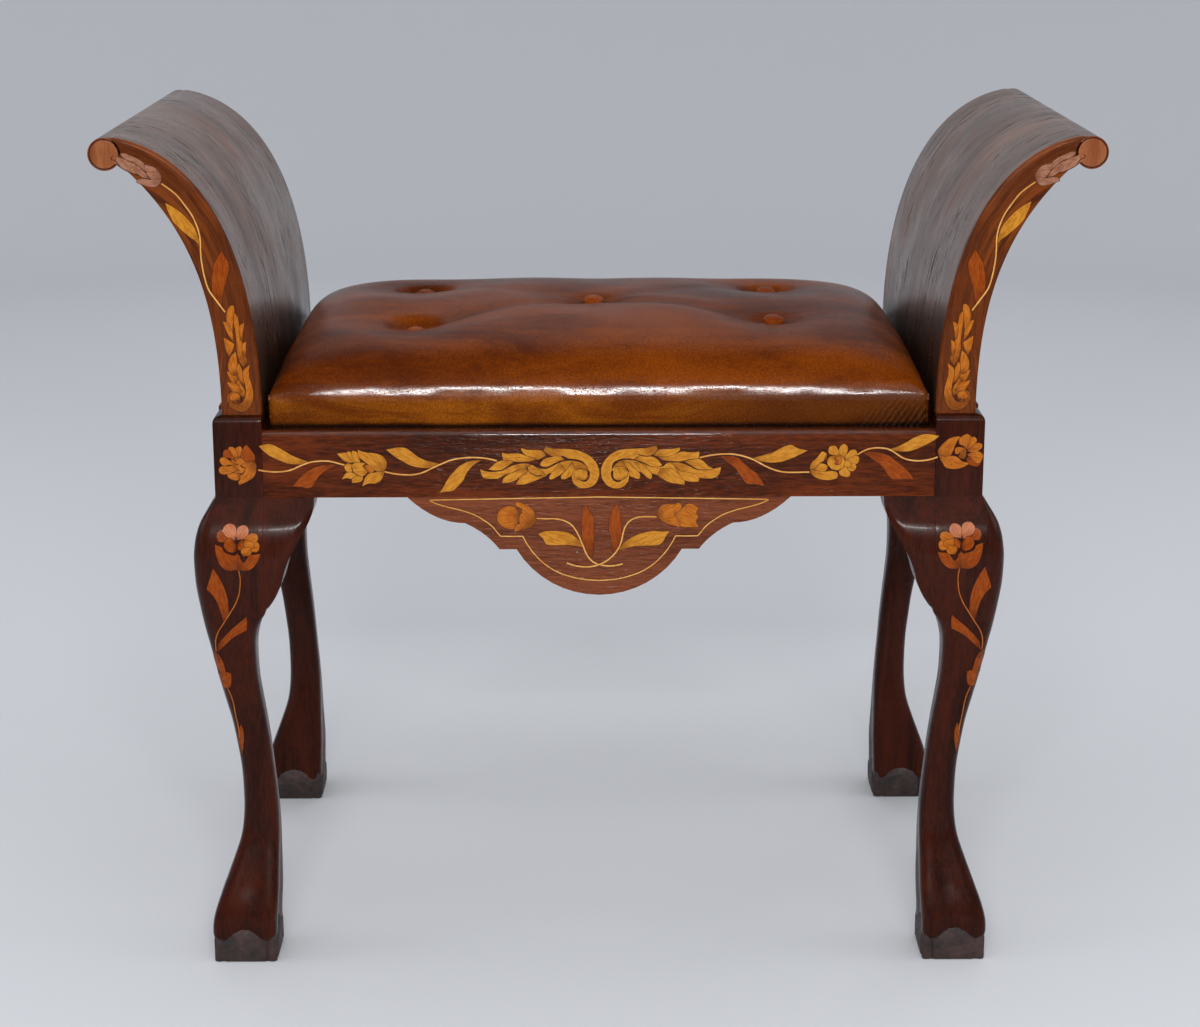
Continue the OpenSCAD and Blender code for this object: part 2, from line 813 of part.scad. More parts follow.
// Rise of the seat's top above its upper edge, at shares u and v of its half size
function seat_rise(u, v) =
  crown_h * pow(max(0, 1 - pow(abs(u), crown_plan)), crown_rise)
    * pow(max(0, 1 - pow(abs(v), crown_plan)), crown_rise)
  - sum_wells(u, v, 0);
function sum_wells(u, v, k) =
  k == len(button_shares) ? 0 :
  let (
    dx = (u - button_shares[k][0]) * seat_half_w,
    dy = (v - button_shares[k][1]) * seat_half_d
  )
  tuft_depth * exp(-(dx * dx + dy * dy) / (tuft_r * tuft_r)) + sum_wells(u, v, k + 1);

// A point of the seat's top, inside the leather's outer face by a depth
function seat_top_point(u, v, depth) =
  [
    u * (seat_half_w - depth - draw_in * (1 - v * v) * pow(abs(u), 4)),
    v * (seat_half_d - depth - draw_in * (1 - u * u) * pow(abs(v), 4)),
    seat_edge_z - depth + seat_rise(u, v)
  ];

// The seat's border in order, as steps of its two lists of lines
seat_border = [
  for (i = [0:seat_cols - 2]) [i, 0],
  for (j = [0:seat_rows - 2]) [seat_cols - 1, j],
  for (i = [seat_cols - 1:-1:1]) [i, seat_rows - 1],
  for (j = [seat_rows - 1:-1:1]) [0, j]
];
border_count = len(seat_border);

// Points of the top, and of a ring at a level, each at a depth inside the outer face
function seat_top_points(depth) =
  [for (j = [0:seat_rows - 1], i = [0:seat_cols - 1]) seat_top_point(seat_xs[i], seat_ys[j], depth)];
function seat_ring_points(depth, z) =
  [for (b = seat_border) [seat_xs[b[0]] * (seat_half_w - depth), seat_ys[b[1]] * (seat_half_d - depth), z]];

// Faces of the top, facing up, and their mirror image, facing down
function grid_faces(first, up) =
  [
    for (j = [0:seat_rows - 2], i = [0:seat_cols - 2])
      let (
        a = first + j * seat_cols + i,
        b = a + 1,
        c = a + seat_cols + 1,
        d = a + seat_cols
      )
      each (up ? [[a, c, b], [a, d, c]] : [[a, b, c], [a, c, d]])
  ];
// Index of a border point within a top that starts at a given point
function border_index(first, k) =
  let (b = seat_border[k % border_count]) first + b[1] * seat_cols + b[0];
// Faces between an upper ring and a lower ring, facing away from the middle
function ring_faces(upper, lower) =
  [
    for (k = [0:border_count - 1])
      let (n = (k + 1) % border_count)
      each [[upper[k], lower[n], lower[k]], [upper[k], upper[n], lower[n]]]
  ];
function ring_ids(first) = [for (k = [0:border_count - 1]) first + k];

// Leather cover: its top, its sides, and the edge turned under the frame, as one closed skin
module leather_form() {
  top_count = seat_cols * seat_rows;
  points = concat(
    seat_top_points(0),
    seat_ring_points(0, stuffing_z),
    seat_ring_points(0, seat_z),
    seat_ring_points(turn_under, seat_z),
    seat_ring_points(turn_under, seat_z + leather_t),
    seat_ring_points(leather_t, seat_z + leather_t),
    seat_ring_points(leather_t, stuffing_z),
    seat_top_points(leather_t)
  );
  ring_count = 6;
  inner_top = top_count + ring_count * border_count;
  outer_edge = [for (k = [0:border_count - 1]) border_index(0, k)];
  inner_edge = [for (k = [0:border_count - 1]) border_index(inner_top, k)];
  rings = [
    outer_edge,
    for (r = [0:ring_count - 1]) ring_ids(top_count + r * border_count),
    inner_edge
  ];
  faces = concat(
    grid_faces(0, true),
    [for (r = [0:ring_count]) each ring_faces(rings[r], rings[r + 1])],
    grid_faces(inner_top, false)
  );
  polyhedron(points, faces);
}

module seat_leather_cover() {
  color(leather_colour)
    difference() {
      leather_form();
      twine_holes();
    }
}

// Horsehair stuffing, which fills the cover above the hessian
module stuffing_form() {
  depth = leather_t + soft_gap;
  top_count = seat_cols * seat_rows;
  points = concat(
    seat_top_points(depth),
    seat_ring_points(depth, stuffing_z),
    [[0, 0, stuffing_z]]
  );
  edge = [for (k = [0:border_count - 1]) border_index(0, k)];
  ring = ring_ids(top_count);
  centre = top_count + border_count;
  faces = concat(
    grid_faces(0, true),
    ring_faces(edge, ring),
    [for (k = [0:border_count - 1]) [centre, ring[k], ring[(k + 1) % border_count]]]
  );
  polyhedron(points, faces);
}

module seat_stuffing() {
  color(hair)
    difference() {
      stuffing_form();
      twine_holes();
    }
}

// Places of the buttons on the seat's top
module button_places() {
  for (share = button_shares)
    translate([share[0] * seat_half_w, share[1] * seat_half_d, 0])
      children();
}

// Level of the seat's top under a button
function button_z(share) = seat_edge_z + seat_rise(share[0], share[1]);

// Holes for the twines through the soft layers
module twine_holes() {
  button_places()
    translate([0, 0, web_z])
      cylinder(h = seat_edge_h + crown_h, d = twine_d + 4 * fit_gap, $fn = round_sides);
}

// Leather-covered buttons: a flat back and a domed face
module seat_buttons() {
  r = button_d / 2;
  dome_r = (r * r + button_dome_h * button_dome_h) / (2 * button_dome_h);
  color(leather_colour)
    for (share = button_shares)
      translate([share[0] * seat_half_w, share[1] * seat_half_d, button_z(share) + button_lift])
        intersection() {
          translate([0, 0, button_dome_h - dome_r]) sphere(r = dome_r, $fn = 2 * round_sides);
          cylinder(h = button_dome_h, r = r, $fn = round_sides);
        }
}

// Twine from each button down to its toggle
module seat_button_twines() {
  low = web_z + web_t;
  color(jute)
    for (share = button_shares)
      translate([share[0] * seat_half_w, share[1] * seat_half_d, low])
        cylinder(h = button_z(share) + button_lift - low, d = twine_d, $fn = round_sides);
}

// Wooden toggles under the long webbing, which hold the twines
module seat_toggles() {
  color(beech)
    button_places()
      translate([0, toggle_l / 2, web_z + web_t - toggle_d / 2])
        rotate([90, 0, 0])
          cylinder(h = toggle_l, d = toggle_d, $fn = round_sides);
}

// Black cloth under the seat, inside the turned edge of the leather
module seat_bottom_cloth() {
  inset = turn_under + soft_gap;
  color(cloth_black)
    block(
      [-seat_half_w + inset, -seat_half_d + inset, seat_frame_z - soft_gap - bottom_cloth_t],
      [seat_half_w - inset, seat_half_d - inset, seat_frame_z - soft_gap]
    );
}

// A tack with its shank upwards and its head below the origin
module tack() {
  translate([0, 0, -tack_head_h]) cylinder(h = tack_head_h, d = tack_head_d, $fn = round_sides);
  cylinder(h = tack_l, d = tack_d, $fn = round_sides);
}

// Tacks through the leather's turned edge, clear of the ledge that the seat rests on
module seat_cover_tacks() {
  inset = turn_under - tack_head_d / 2 - tack_margin;
  half_w = seat_half_w - inset;
  half_d = seat_half_d - inset;
  along_x = floor(half_w / tack_pitch);
  along_y = floor(half_d / tack_pitch);
  color(steel) {
    for (k = [-along_x:along_x], end = [front, rear])
      translate([k * tack_pitch, end * half_d, seat_z]) tack();
    for (k = [-along_y + 1:along_y - 1], side = [left, right])
      translate([side * half_w, k * tack_pitch, seat_z]) tack();
  }
}

// Tacks through the ends of the webbing
module seat_webbing_tacks() {
  inset = seat_rail_w / 2;
  color(steel) {
    for (share = cross_web_shares, end = [front, rear])
      translate([share * seat_frame_half_w, end * (seat_frame_half_d - inset), web_z + web_t]) web_tack();
    for (share = long_web_shares, side = [left, right])
      translate([side * (seat_frame_half_w - web_fold_l / 2), share * seat_frame_half_d, hessian_z])
        web_tack();
  }
}

// Tack driven down into the seat's frame, its head flush with the top of the webbing
module web_tack() {
  mirror([0, 0, 1]) translate([0, 0, tack_head_h]) tack();
}

leg(left, front);  // leg_front_left
leg(right, front);  // leg_front_right
leg(left, rear);  // leg_rear_left
leg(right, rear);  // leg_rear_right
long_knee_block(left, front);  // knee_block_front_left_front
side_knee_block(left, front);  // knee_block_front_left_side
long_knee_block(right, front);  // knee_block_front_right_front
side_knee_block(right, front);  // knee_block_front_right_side
long_knee_block(left, rear);  // knee_block_rear_left_rear
side_knee_block(left, rear);  // knee_block_rear_left_side
long_knee_block(right, rear);  // knee_block_rear_right_rear
side_knee_block(right, rear);  // knee_block_rear_right_side
long_rail(front);  // front_rail
long_rail(rear);  // rear_rail
side_rail(left);  // left_rail
side_rail(right);  // right_rail
apron(front);  // front_apron
apron(rear);  // rear_apron
apron_dowels();
corner_block(left, front);  // corner_block_front_left
corner_block(right, front);  // corner_block_front_right
corner_block(left, rear);  // corner_block_rear_left
corner_block(right, rear);  // corner_block_rear_right
corner_block_screws();
ledger(left);  // ledger_left
ledger(right);  // ledger_right
arm_stile(left, front);  // arm_left_front_stile
arm_stile(left, rear);  // arm_left_rear_stile
arm_staves(left);  // arm_left_staves
arm_inner_veneer(left);  // arm_left_inner_veneer
arm_outer_veneer(left);  // arm_left_outer_veneer
arm_roll(left);  // arm_left_roll
arm_roundel(left, front);  // arm_left_front_roundel
arm_roundel(left, rear);  // arm_left_rear_roundel
arm_stile(right, front);  // arm_right_front_stile
arm_stile(right, rear);  // arm_right_rear_stile
arm_staves(right);  // arm_right_staves
arm_inner_veneer(right);  // arm_right_inner_veneer
arm_outer_veneer(right);  // arm_right_outer_veneer
arm_roll(right);  // arm_right_roll
arm_roundel(right, front);  // arm_right_front_roundel
arm_roundel(right, rear);  // arm_right_rear_roundel
arm_dowels();
seat_long_rail(front);  // seat_front_rail
seat_long_rail(rear);  // seat_rear_rail
seat_side_rail(left);  // seat_left_rail
seat_side_rail(right);  // seat_right_rail
seat_cross_webbing();
seat_long_webbing();
seat_hessian();
seat_stuffing();
seat_leather_cover();
seat_buttons();
seat_button_twines();
seat_toggles();
seat_bottom_cloth();
seat_cover_tacks();
seat_webbing_tacks();
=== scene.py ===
"""Piano stool with scrolled arms, cabriole legs and a loose buttoned leather seat.
Lengths are in metres, X to the right seen from the front, Y to the back and Z up."""

import math

import bmesh
import bpy
import numpy as np
from mathutils import Matrix, Vector
from mathutils.bvhtree import BVHTree
from mathutils.geometry import delaunay_2d_cdt


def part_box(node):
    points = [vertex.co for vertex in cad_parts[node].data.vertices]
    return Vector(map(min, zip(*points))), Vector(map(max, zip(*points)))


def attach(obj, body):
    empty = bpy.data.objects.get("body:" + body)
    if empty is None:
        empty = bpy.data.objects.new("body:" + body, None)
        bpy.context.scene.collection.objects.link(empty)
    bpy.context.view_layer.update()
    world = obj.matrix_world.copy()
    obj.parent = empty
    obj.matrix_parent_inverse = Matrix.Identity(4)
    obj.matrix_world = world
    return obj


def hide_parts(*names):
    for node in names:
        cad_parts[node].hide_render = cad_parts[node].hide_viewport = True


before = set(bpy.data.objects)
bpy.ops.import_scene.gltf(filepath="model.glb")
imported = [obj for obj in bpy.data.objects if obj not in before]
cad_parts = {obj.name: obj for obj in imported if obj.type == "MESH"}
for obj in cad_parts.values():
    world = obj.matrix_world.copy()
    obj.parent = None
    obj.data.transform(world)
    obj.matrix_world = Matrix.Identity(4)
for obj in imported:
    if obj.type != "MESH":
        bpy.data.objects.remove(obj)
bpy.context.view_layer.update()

# Camera
# It stands at the photograph's viewpoint, in front of the stool and a little above it.
# The photograph is 1200 by 1027 pixels.
PHOTO_W = 1200
PHOTO_H = 1027
FOCAL_PIXELS = 2512.6
SENSOR_MM = 36
eye = Vector((-0.010, -2.0906, 0.8879))
lens = bpy.data.cameras.new("camera")
lens.sensor_width = SENSOR_MM
lens.lens = SENSOR_MM * FOCAL_PIXELS / PHOTO_W
camera = bpy.data.objects.new("camera", lens)
camera.location = eye
camera.rotation_euler = (math.radians(74.879), math.radians(0.066), math.radians(-0.339))
bpy.context.scene.collection.objects.link(camera)
bpy.context.scene.camera = camera
bpy.context.scene.view_settings.view_transform = "Standard"

# Studio floor and backdrop
# One seamless pale sheet: it lies under the stool and curves up all round it, so that it is the
# backdrop of every view.
STAGE_R = 4.4
STAGE_H = 2.4
STAGE_CURVE = 1.2
STAGE_STEPS = 20


def colour(red, green, blue):
    """A colour as it is seen, 0 to 255, turned into the light values that a material takes."""
    light = []
    for part in (red, green, blue):
        share = part / 255
        light.append(share / 12.92 if share <= 0.04045 else ((share + 0.055) / 1.055) ** 2.4)
    return (*light, 1.0)


class Value:
    """A socket of a finish. Arithmetic on it adds Math nodes to that finish."""

    def __init__(self, finish, socket):
        self.finish = finish
        self.socket = socket

    def maths(self, operation, *terms):
        """A Math node over these terms."""
        return self.finish.node("Math", {"operation": operation}, dict(enumerate(terms)))

    def output(self, index):
        """Another output of the same node."""
        return Value(self.finish, self.socket.node.outputs[index])

    def sine(self):
        return self.maths("SINE", self)

    def size(self):
        """The value without its sign."""
        return self.maths("ABSOLUTE", self)

    def __add__(self, other):
        return self.maths("ADD", self, other)

    __radd__ = __add__

    def __sub__(self, other):
        return self.maths("SUBTRACT", self, other)

    def __rsub__(self, other):
        return self.maths("SUBTRACT", other, self)

    def __mul__(self, other):
        return self.maths("MULTIPLY", self, other)

    __rmul__ = __mul__


class Finish:
    """A material and the nodes of its finish."""

    def __init__(self, name):
        self.material = bpy.data.materials.new(name)
        self.material.use_nodes = True
        self.tree = self.material.node_tree
        self.shader = self.tree.nodes["Principled BSDF"]

    def node(self, kind, settings=None, sockets=None, output=0):
        """Adds a node: its settings first, then the values or links of its sockets."""
        node = self.tree.nodes.new("ShaderNode" + kind)
        for name, value in (settings or {}).items():
            setattr(node, name, value)
        for name, value in (sockets or {}).items():
            self.feed(node.inputs[name], value)
        return Value(self, node.outputs[output])

    def feed(self, socket, value):
        """Links a value to a socket, or sets the socket where it is a plain number or colour."""
        if isinstance(value, Value):
            self.tree.links.new(value.socket, socket)
        else:
            socket.default_value = value

    def surface(self, **sockets):
        """Sets sockets of the surface itself, with _ for a space."""
        for name, value in sockets.items():
            self.feed(self.shader.inputs[name.replace("_", " ")], value)
        return self.material

    def place(self, stretch=(1, 1, 1)):
        """The point's place in the object, stretched."""
        where = self.node("TexCoord", output=3)
        return self.node("Mapping", None, {"Vector": where, "Scale": stretch})

    def along(self, axis, share):
        """The point's place, with a pattern drawn out along the axis X, Y or Z."""
        return self.place([share if axis == other else 1.0 for other in "XYZ"])

    def with_grain(self, share):
        """The point's place on the UV map of the grain, with a pattern drawn out along the grain."""
        where = self.node("UVMap", {"uv_map": "grain"})
        return self.node("Mapping", None, {"Vector": where, "Scale": (share, 1, 1)})

    def spot(self):
        """The point's X in the object. Y and Z are the outputs 1 and 2 of the same node."""
        return self.node("SeparateXYZ", None, {0: self.place()})

    def noise(self, where, scale, detail=3.0, roughness=0.55, distortion=0.0):
        return self.node("TexNoise", None, {
            "Vector": where, "Scale": scale, "Detail": detail,
            "Roughness": roughness, "Distortion": distortion,
        })

    def range(self, value, low, high, to_low=0.0, to_high=1.0):
        """The value spread from low and high to two other values, and held between them."""
        return self.node("MapRange", {"interpolation_type": "SMOOTHSTEP"}, {
            "Value": value, "From Min": low, "From Max": high, "To Min": to_low, "To Max": to_high,
        })

    def blend(self, share, first, second):
        return self.node("Mix", {"data_type": "RGBA"}, {0: share, 6: first, 7: second}, 2)

    def bump(self, height, distance, strength=1.0):
        return self.node("Bump", None, {"Height": height, "Distance": distance, "Strength": strength})


def deselect():
    """Nothing stays selected, and no object is left in edit mode."""
    if bpy.context.object and bpy.context.object.mode != "OBJECT":
        bpy.ops.object.mode_set(mode="OBJECT")
    bpy.ops.object.select_all(action="DESELECT")


deselect()
bpy.ops.mesh.primitive_cylinder_add(
    vertices=128, radius=STAGE_R, depth=STAGE_H, location=(0, 0, STAGE_H / 2))
floor = bpy.context.object
floor.name = "studio_floor"
bpy.ops.object.transform_apply(location=True, rotation=True, scale=True)
bpy.ops.object.mode_set(mode="EDIT")
sheet = bmesh.from_edit_mesh(floor.data)
for face in sheet.faces:
    face.select_set(face.normal.z > 0.5)
bpy.ops.mesh.delete(type="FACE")
sheet = bmesh.from_edit_mesh(floor.data)
sheet.select_mode = {"EDGE"}
for edge in sheet.edges:
    edge.select_set(all(vert.co.z < 0.01 for vert in edge.verts))
bpy.ops.mesh.bevel(offset=STAGE_CURVE, segments=STAGE_STEPS, affect="EDGES")
bpy.ops.mesh.select_all(action="SELECT")
bpy.ops.mesh.flip_normals()
bpy.ops.object.mode_set(mode="OBJECT")
bpy.ops.object.shade_smooth()
pale = Finish("studio_paper")
floor.data.materials.append(pale.surface(
    Base_Color=colour(214, 216, 220),
    Roughness=0.85,
    Specular_IOR_Level=0.2,
))

# Studio light
# A strip lamp near the camera draws the highlights, a large soft one hangs above it, and others
# stand behind and at the sides.
world = bpy.data.worlds.new("studio")
world.use_nodes = True
world.node_tree.nodes["Background"].inputs["Color"].default_value = (0.86, 0.88, 0.92, 1)
world.node_tree.nodes["Background"].inputs["Strength"].default_value = 0.46
bpy.context.scene.world = world
LAMP_AIM = Vector((0, 0, 0.4))


def soft_lamp(name, place, width, height, power):
    """A rectangular lamp, turned towards the middle of the stool."""
    lamp = bpy.data.lights.new(name, "AREA")
    lamp.shape = "RECTANGLE"
    lamp.size = width
    lamp.size_y = height
    lamp.energy = power
    holder = bpy.data.objects.new(name, lamp)
    holder.location = place
    holder.rotation_euler = (LAMP_AIM - Vector(place)).to_track_quat("-Z", "Y").to_euler()
    bpy.context.scene.collection.objects.link(holder)


soft_lamp("front_lamp", (0, -2.5, 1.42), 1.1, 0.07, 40)
soft_lamp("key_lamp", (-0.2, -1.7, 3.1), 4.2, 2.6, 24)
soft_lamp("rear_lamp", (0.2, 2.2, 2.9), 3.4, 1.8, 22)
soft_lamp("left_lamp", (-3.0, -0.3, 1.8), 1.6, 1.6, 15)
soft_lamp("right_lamp", (3.0, -0.3, 1.8), 1.6, 1.6, 15)

# Legs
# Four legs of solid walnut. Each is one piece: a square post with an eased top, a knee that swells
# out under it, a slender ankle, and a foot of four claws that grip a rough square pad.
MM = 0.001
POST_OUT_X = 300
POST_OUT_Y = 191
POST_W = 38
POST_TOP = 453
KNEE_TOP = 388
POST_ROUND = 5.5
SIDES = (("left", -1), ("right", 1))
ENDS = (("front", -1), ("rear", 1))
# Height, reach beyond the post's outer face, reach inward from it, corner radius of the outer edge
# and of the other edges as shares of the width, and depth of the hollow between two claws
leg_rows = [
    (388, 0.0, 38.0, 0.02, 0.01, 0), (385, 2.4, 38.0, 0.08, 0.01, 0), (380, 5.6, 38.0, 0.13, 0.01, 0),
    (370, 11.6, 38.0, 0.18, 0.01, 0), (360, 15.2, 38.0, 0.21, 0.01, 0), (350, 17.0, 38.0, 0.22, 0.01, 0),
    (340, 17.7, 38.0, 0.22, 0.01, 0), (320, 17.1, 38.0, 0.23, 0.01, 0), (300, 14.7, 38.0, 0.25, 0.02, 0),
    (291, 13.3, 34.0, 0.27, 0.12, 0), (280, 11.4, 29.6, 0.30, 0.24, 0), (266, 8.6, 27.3, 0.32, 0.30, 0),
    (240, 3.8, 27.5, 0.34, 0.33, 0), (220, -0.3, 29.5, 0.35, 0.34, 0), (200, -4.4, 31.9, 0.36, 0.35, 0),
    (180, -7.2, 34.0, 0.38, 0.37, 0), (160, -9.4, 35.6, 0.40, 0.39, 0), (140, -10.0, 37.4, 0.41, 0.40, 0.2),
    (120, -9.3, 39.1, 0.39, 0.38, 0.8), (100, -6.0, 40.3, 0.35, 0.34, 1.9), (80, 1.3, 40.8, 0.31, 0.30, 3.2),
    (60, 9.3, 41.2, 0.28, 0.27, 4.4), (45, 15.0, 40.9, 0.27, 0.26, 5.0), (34, 18.0, 40.4, 0.27, 0.26, 5.2),
    (25, 18.6, 40.0, 0.27, 0.26, 4.9), (20.5, 17.8, 39.4, 0.27, 0.26, 4.2),
    (18, 15.6, 37.6, 0.28, 0.27, 3.2), (17, 12.4, 34.8, 0.29, 0.28, 2.2),
]
LEG_STEP = 2.5
FACE_STEPS = 7
CORNER_STEPS = 8
CLAW_ARCH = 9.5
CLAW_ARCH_FADE = 62
PAD_HALF = 25.5
PAD_TOP = 31
PAD_ROUGH = 1.6
PAD_RINGS = (0.0, 0.8, 9.0, 18.0, 25.0, 29.5, 31.0)
PAD_INSETS = (1.2, 0.0, 0.0, 0.2, 1.0, 3.0, 8.0)
CURVE_STEPS = 24


def between(a, b, c, d, share):
    """The place at a share of the way from b to c on the smooth line through all four."""
    return 0.5 * (2 * b + share * (c - a) + share * share * (2 * a - 5 * b + 4 * c - d)
                  + share ** 3 * (3 * b - a - 3 * c + d))


def smooth_line(points, count):
    """A smooth line through points, sampled at even steps along its length."""
    line = np.array(points, float)
    rows = np.vstack([2 * line[0] - line[1], line, 2 * line[-1] - line[-2]])
    dense = []
    for four in zip(rows, rows[1:], rows[2:], rows[3:]):
        dense += [between(*four, share) for share in np.linspace(0, 1, CURVE_STEPS, endpoint=False)]
    dense = np.array(dense + [line[-1]])
    run = np.concatenate([[0], np.cumsum(np.linalg.norm(np.diff(dense, axis=0), axis=1))])
    places = np.linspace(0, run[-1], count)
    return np.stack([np.interp(places, run, dense[:, k]) for k in range(dense.shape[1])], axis=1)


def select(*pieces):
    """Selects these pieces and no others. The first is the active one."""
    deselect()
    for piece in pieces:
        piece.select_set(True)
    bpy.context.view_layer.objects.active = pieces[0]


def new_piece(name, points, faces, materials=(), smooth_angle=35, weld=True):
    """A mesh object from points in millimetres, its faces turned outwards and its bends smooth."""
    mesh = bpy.data.meshes.new(name)
    mesh.from_pydata([[c * MM for c in point] for point in points], [], faces)
    form = bmesh.new()
    form.from_mesh(mesh)
    if weld:
        bmesh.ops.remove_doubles(form, verts=form.verts, dist=0.00001)
    bmesh.ops.recalc_face_normals(form, faces=form.faces)
    form.to_mesh(mesh)
    form.free()
    piece = bpy.data.objects.new(name, mesh)
    bpy.context.scene.collection.objects.link(piece)
    for material in materials:
        mesh.materials.append(material)
    select(piece)
    bpy.ops.object.shade_smooth_by_angle(angle=math.radians(smooth_angle))
    return piece


def loft(rings, first=0):
    """Faces of a closed skin over rings of equal counts, with a cap at each end."""
    count = len(rings[0])
    faces = [list(range(first, first + count))[::-1]]
    for r in range(len(rings) - 1):
        for i in range(count):
            j = (i + 1) % count
            a = first + r * count
            faces.append([a + i, a + j, a + count + j, a + count + i])
    last = first + (len(rings) - 1) * count
    faces.append(list(range(last, last + count)))
    return faces


def rounded_square(out, inward, outer_radius, other_radius):
    """Points of a square from -inward to out in both directions, with rounded corners, and for each
    point its place along its face from -1 to 1."""
    half = (out + inward) / 2
    centre = (out - inward) / 2
    points = []
    for quarter in range(4):
        radius = max(0.3, outer_radius if quarter == 0 else other_radius)
        flat = half - radius
        run = [(half, flat * k / FACE_STEPS) for k in range(FACE_STEPS)]
        for k in range(CORNER_STEPS + 1):
            bend = math.pi / 2 * k / CORNER_STEPS
            run.append((flat + radius * math.cos(bend), flat + radius * math.sin(bend)))
        run += [(flat * k / FACE_STEPS, half) for k in range(FACE_STEPS - 1, 0, -1)]
        turn = math.pi / 2 * quarter
        for x, y in run:
            along = y / half if x >= y else x / half
            points.append((centre + x * math.cos(turn) - y * math.sin(turn),
                           centre + x * math.sin(turn) + y * math.cos(turn), min(1, abs(along))))
    return points


def leg_ring(row):
    """Outline of the leg at one row, with hollows and arched webs between its claws."""
    height, out, inward, outer_share, other_share, hollow = row
    width = out + inward
    centre = (out - inward) / 2
    ring = []
    for x, y, along in rounded_square(out, inward, outer_share * width, other_share * width):
        dip = (1 - along ** 2.2) ** 1.6
        sunk = 1 - hollow * dip / (width / 2)
        arch = CLAW_ARCH * math.exp(-(along / 0.42) ** 2.6) * max(0, 1 - height / CLAW_ARCH_FADE)
        ring.append((centre + (x - centre) * sunk, centre + (y - centre) * sunk, height + arch * 1.35))
    return ring


def leg_form():
    """The carved leg at the corner of positive X and Y, measured from the post's outer corner."""
    rows = np.array(leg_rows[:1] + leg_rows + leg_rows[-1:], float)
    steps = []
    for four in zip(rows, rows[1:], rows[2:], rows[3:]):
        count = max(2, round((four[1][0] - four[2][0]) / LEG_STEP))
        steps += [between(*four, share) for share in np.arange(count) / count]
    steps.append(rows[-1])
    rings = []
    for drop, inset in ((POST_TOP, POST_ROUND), (POST_TOP - 0.5, 3.2), (POST_TOP - 1.6, 1.4),
                        (POST_TOP - 3.4, 0.4), (POST_TOP - POST_ROUND, 0.0), (KNEE_TOP + 0.6, 0.0)):
        rings.append([(x, y, drop) for x, y, _ in rounded_square(-inset, POST_W, 1.2, 0.5)])
    rings += [leg_ring(row) for row in steps]
    foot = rings[-1]
    middle = np.mean([p[:2] for p in foot], axis=0)
    rings.append([(middle[0] + 0.55 * (x - middle[0]), middle[1] + 0.55 * (y - middle[1]), z + 3)
                  for x, y, z in foot])
    return rings, middle


def pad_form(middle):
    """The rough pad: square, with an upright groove near each corner."""
    rings = []
    for z, inset in zip(PAD_RINGS, PAD_INSETS):
        ring = []
        half = PAD_HALF - inset
        for x, y, along in rounded_square(half, half, 3.5, 3.5):
            groove = 1.5 * math.exp(-((along - 0.76) / 0.06) ** 2) - 1.3 * (1 - along ** 2) * (z / PAD_TOP)
            chip = 0.45 * math.sin(0.9 * x + 1.7 * z) * math.sin(0.8 * y - 1.1 * z)
            size = 1 - (groove + chip * min(1, z / 4)) / half
            ring.append((middle[0] + x * size, middle[1] + y * size, z))
        rings.append(ring)
    return rings


POLISH_SHINE = 0.09


def polished_wood(
        name, dark, light, grain, figure=0.5, pore=0.55, gloss=0.24, open_grain=0.0, rubbed_z=9.0):
    """French-polished wood. The grain runs along the axis X, Y or Z. Where the polish has sunk into
    the open grain, its edges catch the light. Above the height rubbed_z, use keeps the edge bright."""
    finish = Finish(name)
    broad = finish.noise(finish.along(grain, 0.07), 34, 4, 0.6, 0.8)
    fibre = finish.noise(finish.along(grain, 0.16), 520, 3, 0.6)
    pores = finish.range(finish.noise(finish.along(grain, 0.10), 900, 2, 0.5), 0.60, 0.74)
    sunk = finish.noise(finish.along(grain, 0.2), 480, 2, 0.6, 0.4)
    tone = finish.range(broad * (1 - figure * 0.5) + fibre * (figure * 0.5), 0.32, 0.66)
    wood = finish.blend(tone, dark, light)
    wood = finish.blend(pores * pore, wood, tuple(part * 0.25 for part in dark[:3]) + (1,))
    worn = finish.noise(finish.place(), 16, 3, 0.6)
    height = finish.spot().output(2)
    return finish.surface(
        Base_Color=wood,
        Roughness=finish.range(worn, 0.3, 0.7, gloss * 0.8, gloss * 1.35) + pores * 0.12,
        Normal=finish.bump(fibre * 0.25 - pores * 0.9 + worn * 0.6 + sunk * open_grain, 0.00022, 0.55),
        Specular_IOR_Level=POLISH_SHINE,
        Coat_Weight=finish.range(height, rubbed_z - 0.001, rubbed_z + 0.0005, 0.05, 0.9),
        Coat_Roughness=0.09,
    )


leg_walnut = polished_wood("leg_walnut", colour(29, 8, 3), colour(64, 22, 7), "Z", 0.7, 0.35)


def dull_pad():
    """The pads stay unpolished, dark with floor dirt, and a little rough from the chisel."""
    finish = Finish("foot_pad_walnut")
    grit = finish.noise(finish.place(), 260, 4, 0.7)
    chisel = finish.node("TexVoronoi", {"feature": "F1"}, {"Vector": finish.place(), "Scale": 190})
    dirt = finish.range(finish.noise(finish.place(), 60, 3, 0.6), 0.35, 0.7)
    return finish.surface(
        Base_Color=finish.blend(dirt, colour(30, 16, 12), colour(60, 38, 32)),
        Roughness=finish.range(grit, 0.3, 0.7, 0.42, 0.75),
        Normal=finish.bump(grit * 0.5 + chisel, 0.0009, 0.7),
    )


